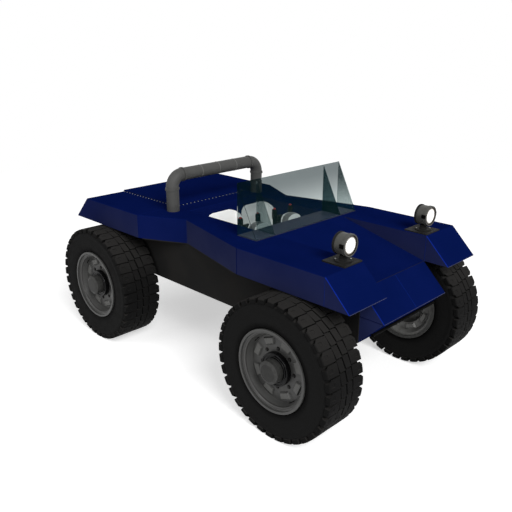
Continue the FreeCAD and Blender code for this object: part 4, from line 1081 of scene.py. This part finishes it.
print("controls trimmed")

# %% [markdown]
# ## Seat cushions
# A cushion is a cover blown up by its filling, so it is simulated: a rounded block is remeshed into even
# cells, air pressure pushes it out for twenty frames with its underside pinned, and no point may move more
# than a set cap. Seams come afterwards, pressed in as narrow channels, because remeshing would have erased
# them.

# %% Blow up one cushion
CELL = 0.006
FRAMES = 20
PRESSURE = 4.0
CHANNEL_DEPTH, CHANNEL_WIDTH = 0.007, 0.005
ROOM = 0.008
UNBLOWN = 0.72
ROUNDING = 0.25
HELD_UNDER = 0.004


def inflate(host):
    """Let air pressure push a cushion out, while its underside is held."""
    pinned = host.vertex_groups.new(name="underside")
    pinned.add([v.index for v in host.data.vertices if v.co.z < HELD_UNDER], 1.0, "REPLACE")
    cloth = host.modifiers.new("cloth", "CLOTH")
    cloth.settings.vertex_group_mass = "underside"
    cloth.settings.use_pressure = True
    cloth.settings.uniform_pressure_force = PRESSURE
    cloth.settings.effector_weights.gravity = 0.0
    cloth.point_cache.frame_start, cloth.point_cache.frame_end = 1, FRAMES
    for step in range(1, FRAMES + 1):
        bpy.context.scene.frame_set(step)
    host.data = frozen(host)
    host.modifiers.clear()
    bpy.context.scene.frame_set(1)


def cushion(name, length, width, height, cap, channels):
    """A stuffed cushion that rests on Z = 0, with sewn channels along X at the given places across."""
    start = Vector((length - ROOM, width - ROOM, height * UNBLOWN)) / 2
    shape = bar(-start, start, height * ROUNDING, 4)
    bmesh.ops.translate(shape, verts=shape.verts, vec=(0, 0, start.z))
    host = piece(name, as_mesh(name, shape))
    cells = host.modifiers.new("cells", "REMESH")
    cells.mode, cells.voxel_size = "VOXEL", CELL
    host.data = frozen(host)
    host.modifiers.clear()
    before = [v.co.copy() for v in host.data.vertices]
    inflate(host)
    for v, start in zip(host.data.vertices, before):
        shift = v.co - start
        v.co = start + shift * min(1.0, cap / max(shift.length, 1e-9))
        lift = max(0.0, v.co.z / height)
        for across in channels:
            v.co.z -= CHANNEL_DEPTH * lift * math.exp(-((v.co.y - across) / CHANNEL_WIDTH) ** 2)
    host.data.materials.clear()
    host.data.materials.append(vinyl.material)
    host.data.shade_smooth()
    fair = host.modifiers.new("fair", "SUBSURF")
    fair.levels = fair.render_levels = 1
    mesh = frozen(host)
    bpy.data.objects.remove(host)
    return mesh


PAD = 0.055
BASE_LENGTH, BASE_AHEAD = 0.258, 0.131
BACK_FOOT = PAD * 0.6
CAP_MOVE = 0.012
pad_low, pad_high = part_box("left_seat_pad")
pad_width = pad_high.y - pad_low.y
seat_foot = pad_high.x - 0.260
lean = math.atan2(seat_foot - pad_low.x, pad_high.z - pad_low.z)
back_length = (pad_high.z - pad_low.z - BACK_FOOT) / math.cos(lean)
thirds = (-pad_width / 6, pad_width / 6)
base_mesh = cushion("base_cushion", BASE_LENGTH, pad_width, PAD, CAP_MOVE, thirds)
back_mesh = cushion("back_cushion", back_length, pad_width, PAD, CAP_MOVE, thirds)
print("cushions", len(base_mesh.polygons), "and", len(back_mesh.polygons), "faces")

# %% Put the cushions in the seats
for side, sign in SIDES:
    low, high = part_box(f"{side}_seat_pad")
    middle = (low.y + high.y) / 2
    base_place = move(seat_foot + BASE_AHEAD, middle, low.z + 0.0005)
    back_place = (move(seat_foot, middle, low.z) @ Matrix.Rotation(-lean, 4, "Y") @ spin(-90, "Y")
                  @ spin(180, "Z") @ move(-(BACK_FOOT + back_length / 2), 0, 0))
    for part, mesh, place in (("base", base_mesh, base_place), ("back", back_mesh, back_place)):
        own = mesh.copy()
        own.transform(place)
        made = piece(f"{side}_seat_{part}_cushion", own)
        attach(made, "buggy_body")
        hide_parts(f"{side}_seat_pad")
        print(made.name, "from", short(own.vertices[0].co), "to", short(own.vertices[-1].co))

# %% [markdown]
# ## Floor, light and camera
# The floor is white and wide. Seen by the camera, in a reflection or through glass, it gets a little light
# of its own, so that it reads as plain white and still keeps the soft shadow under the buggy. A large soft
# lamp stands ahead and to one side, a weaker one fills in, and the white world lights the rest.

# %% Floor and world
FLOOR_RADIUS = 9.0
FLOOR_GLOW = 0.52
AMBIENT = 0.28
disc = bmesh.new()
bmesh.ops.create_circle(disc, cap_ends=True, segments=96, radius=FLOOR_RADIUS)
floor_finish = Finish("studio_floor", Base_Color=(0.85, 0.85, 0.85, 1), Roughness=0.9, Specular_IOR_Level=0.0)
own_light = floor_finish.mix(floor_finish.seen(), BLACK, (FLOOR_GLOW, FLOOR_GLOW, FLOOR_GLOW, 1))
floor_finish.feed(Emission_Color=own_light, Emission_Strength=1.0)
floor = piece("studio_floor", as_mesh("floor", disc), floor_finish)

world = bpy.data.worlds.new("studio")
bpy.context.scene.world = world
world.use_nodes = True
sky = Graph(world.node_tree)
background = sky.tree.nodes["Background"].inputs
sky.plug(background["Strength"], AMBIENT + sky.seen() * (1.0 - AMBIENT))
sky.plug(background["Color"], WHITE)
print("floor and world ready")

# %% Lamps and camera
MIDDLE_UP = 0.8
LAMP_DISTANCE = 30.0


def on_sphere(azimuth, elevation):
    """A direction of length one, from two angles in degrees."""
    a, e = math.radians(azimuth), math.radians(elevation)
    return Vector((math.cos(e) * math.cos(a), math.cos(e) * math.sin(a), math.sin(e)))


def studio_lamp(name, azimuth, elevation, size, power):
    """A square soft lamp on a wide sphere round the buggy, aimed at its middle."""
    light = bpy.data.lights.new(name, "AREA")
    light.shape, light.size, light.energy = "SQUARE", size, power
    lamp = bpy.data.objects.new(name, light)
    towards = on_sphere(azimuth, elevation)
    lamp.location = Vector((0, 0, MIDDLE_UP)) + towards * LAMP_DISTANCE
    lamp.rotation_euler = towards.to_track_quat("Z", "Y").to_euler()
    lamp.visible_camera = lamp.visible_transmission = False
    bpy.context.scene.collection.objects.link(lamp)


studio_lamp("key", -20, 36, 14.0, 7500)
studio_lamp("fill", -100, 35, 16.0, 1800)

ROLL = 0.11
camera = bpy.data.objects.new("camera", bpy.data.cameras.new("camera"))
bpy.context.scene.collection.objects.link(camera)
bpy.context.scene.camera = camera
camera.data.lens, camera.data.sensor_width = 43.62, 36.0
camera.data.clip_start, camera.data.clip_end = 0.05, 300
camera.location = (3.620, -3.633, 2.631)
aim = on_sphere(-45.094, 19.404).to_track_quat("Z", "Y").to_matrix()
camera.rotation_mode = "QUATERNION"
camera.rotation_quaternion = (aim @ Matrix.Rotation(math.radians(ROLL), 3, "Z")).to_quaternion()
bpy.context.scene.view_settings.view_transform = "Standard"
print("camera", short(camera.location), "lens", camera.data.lens)
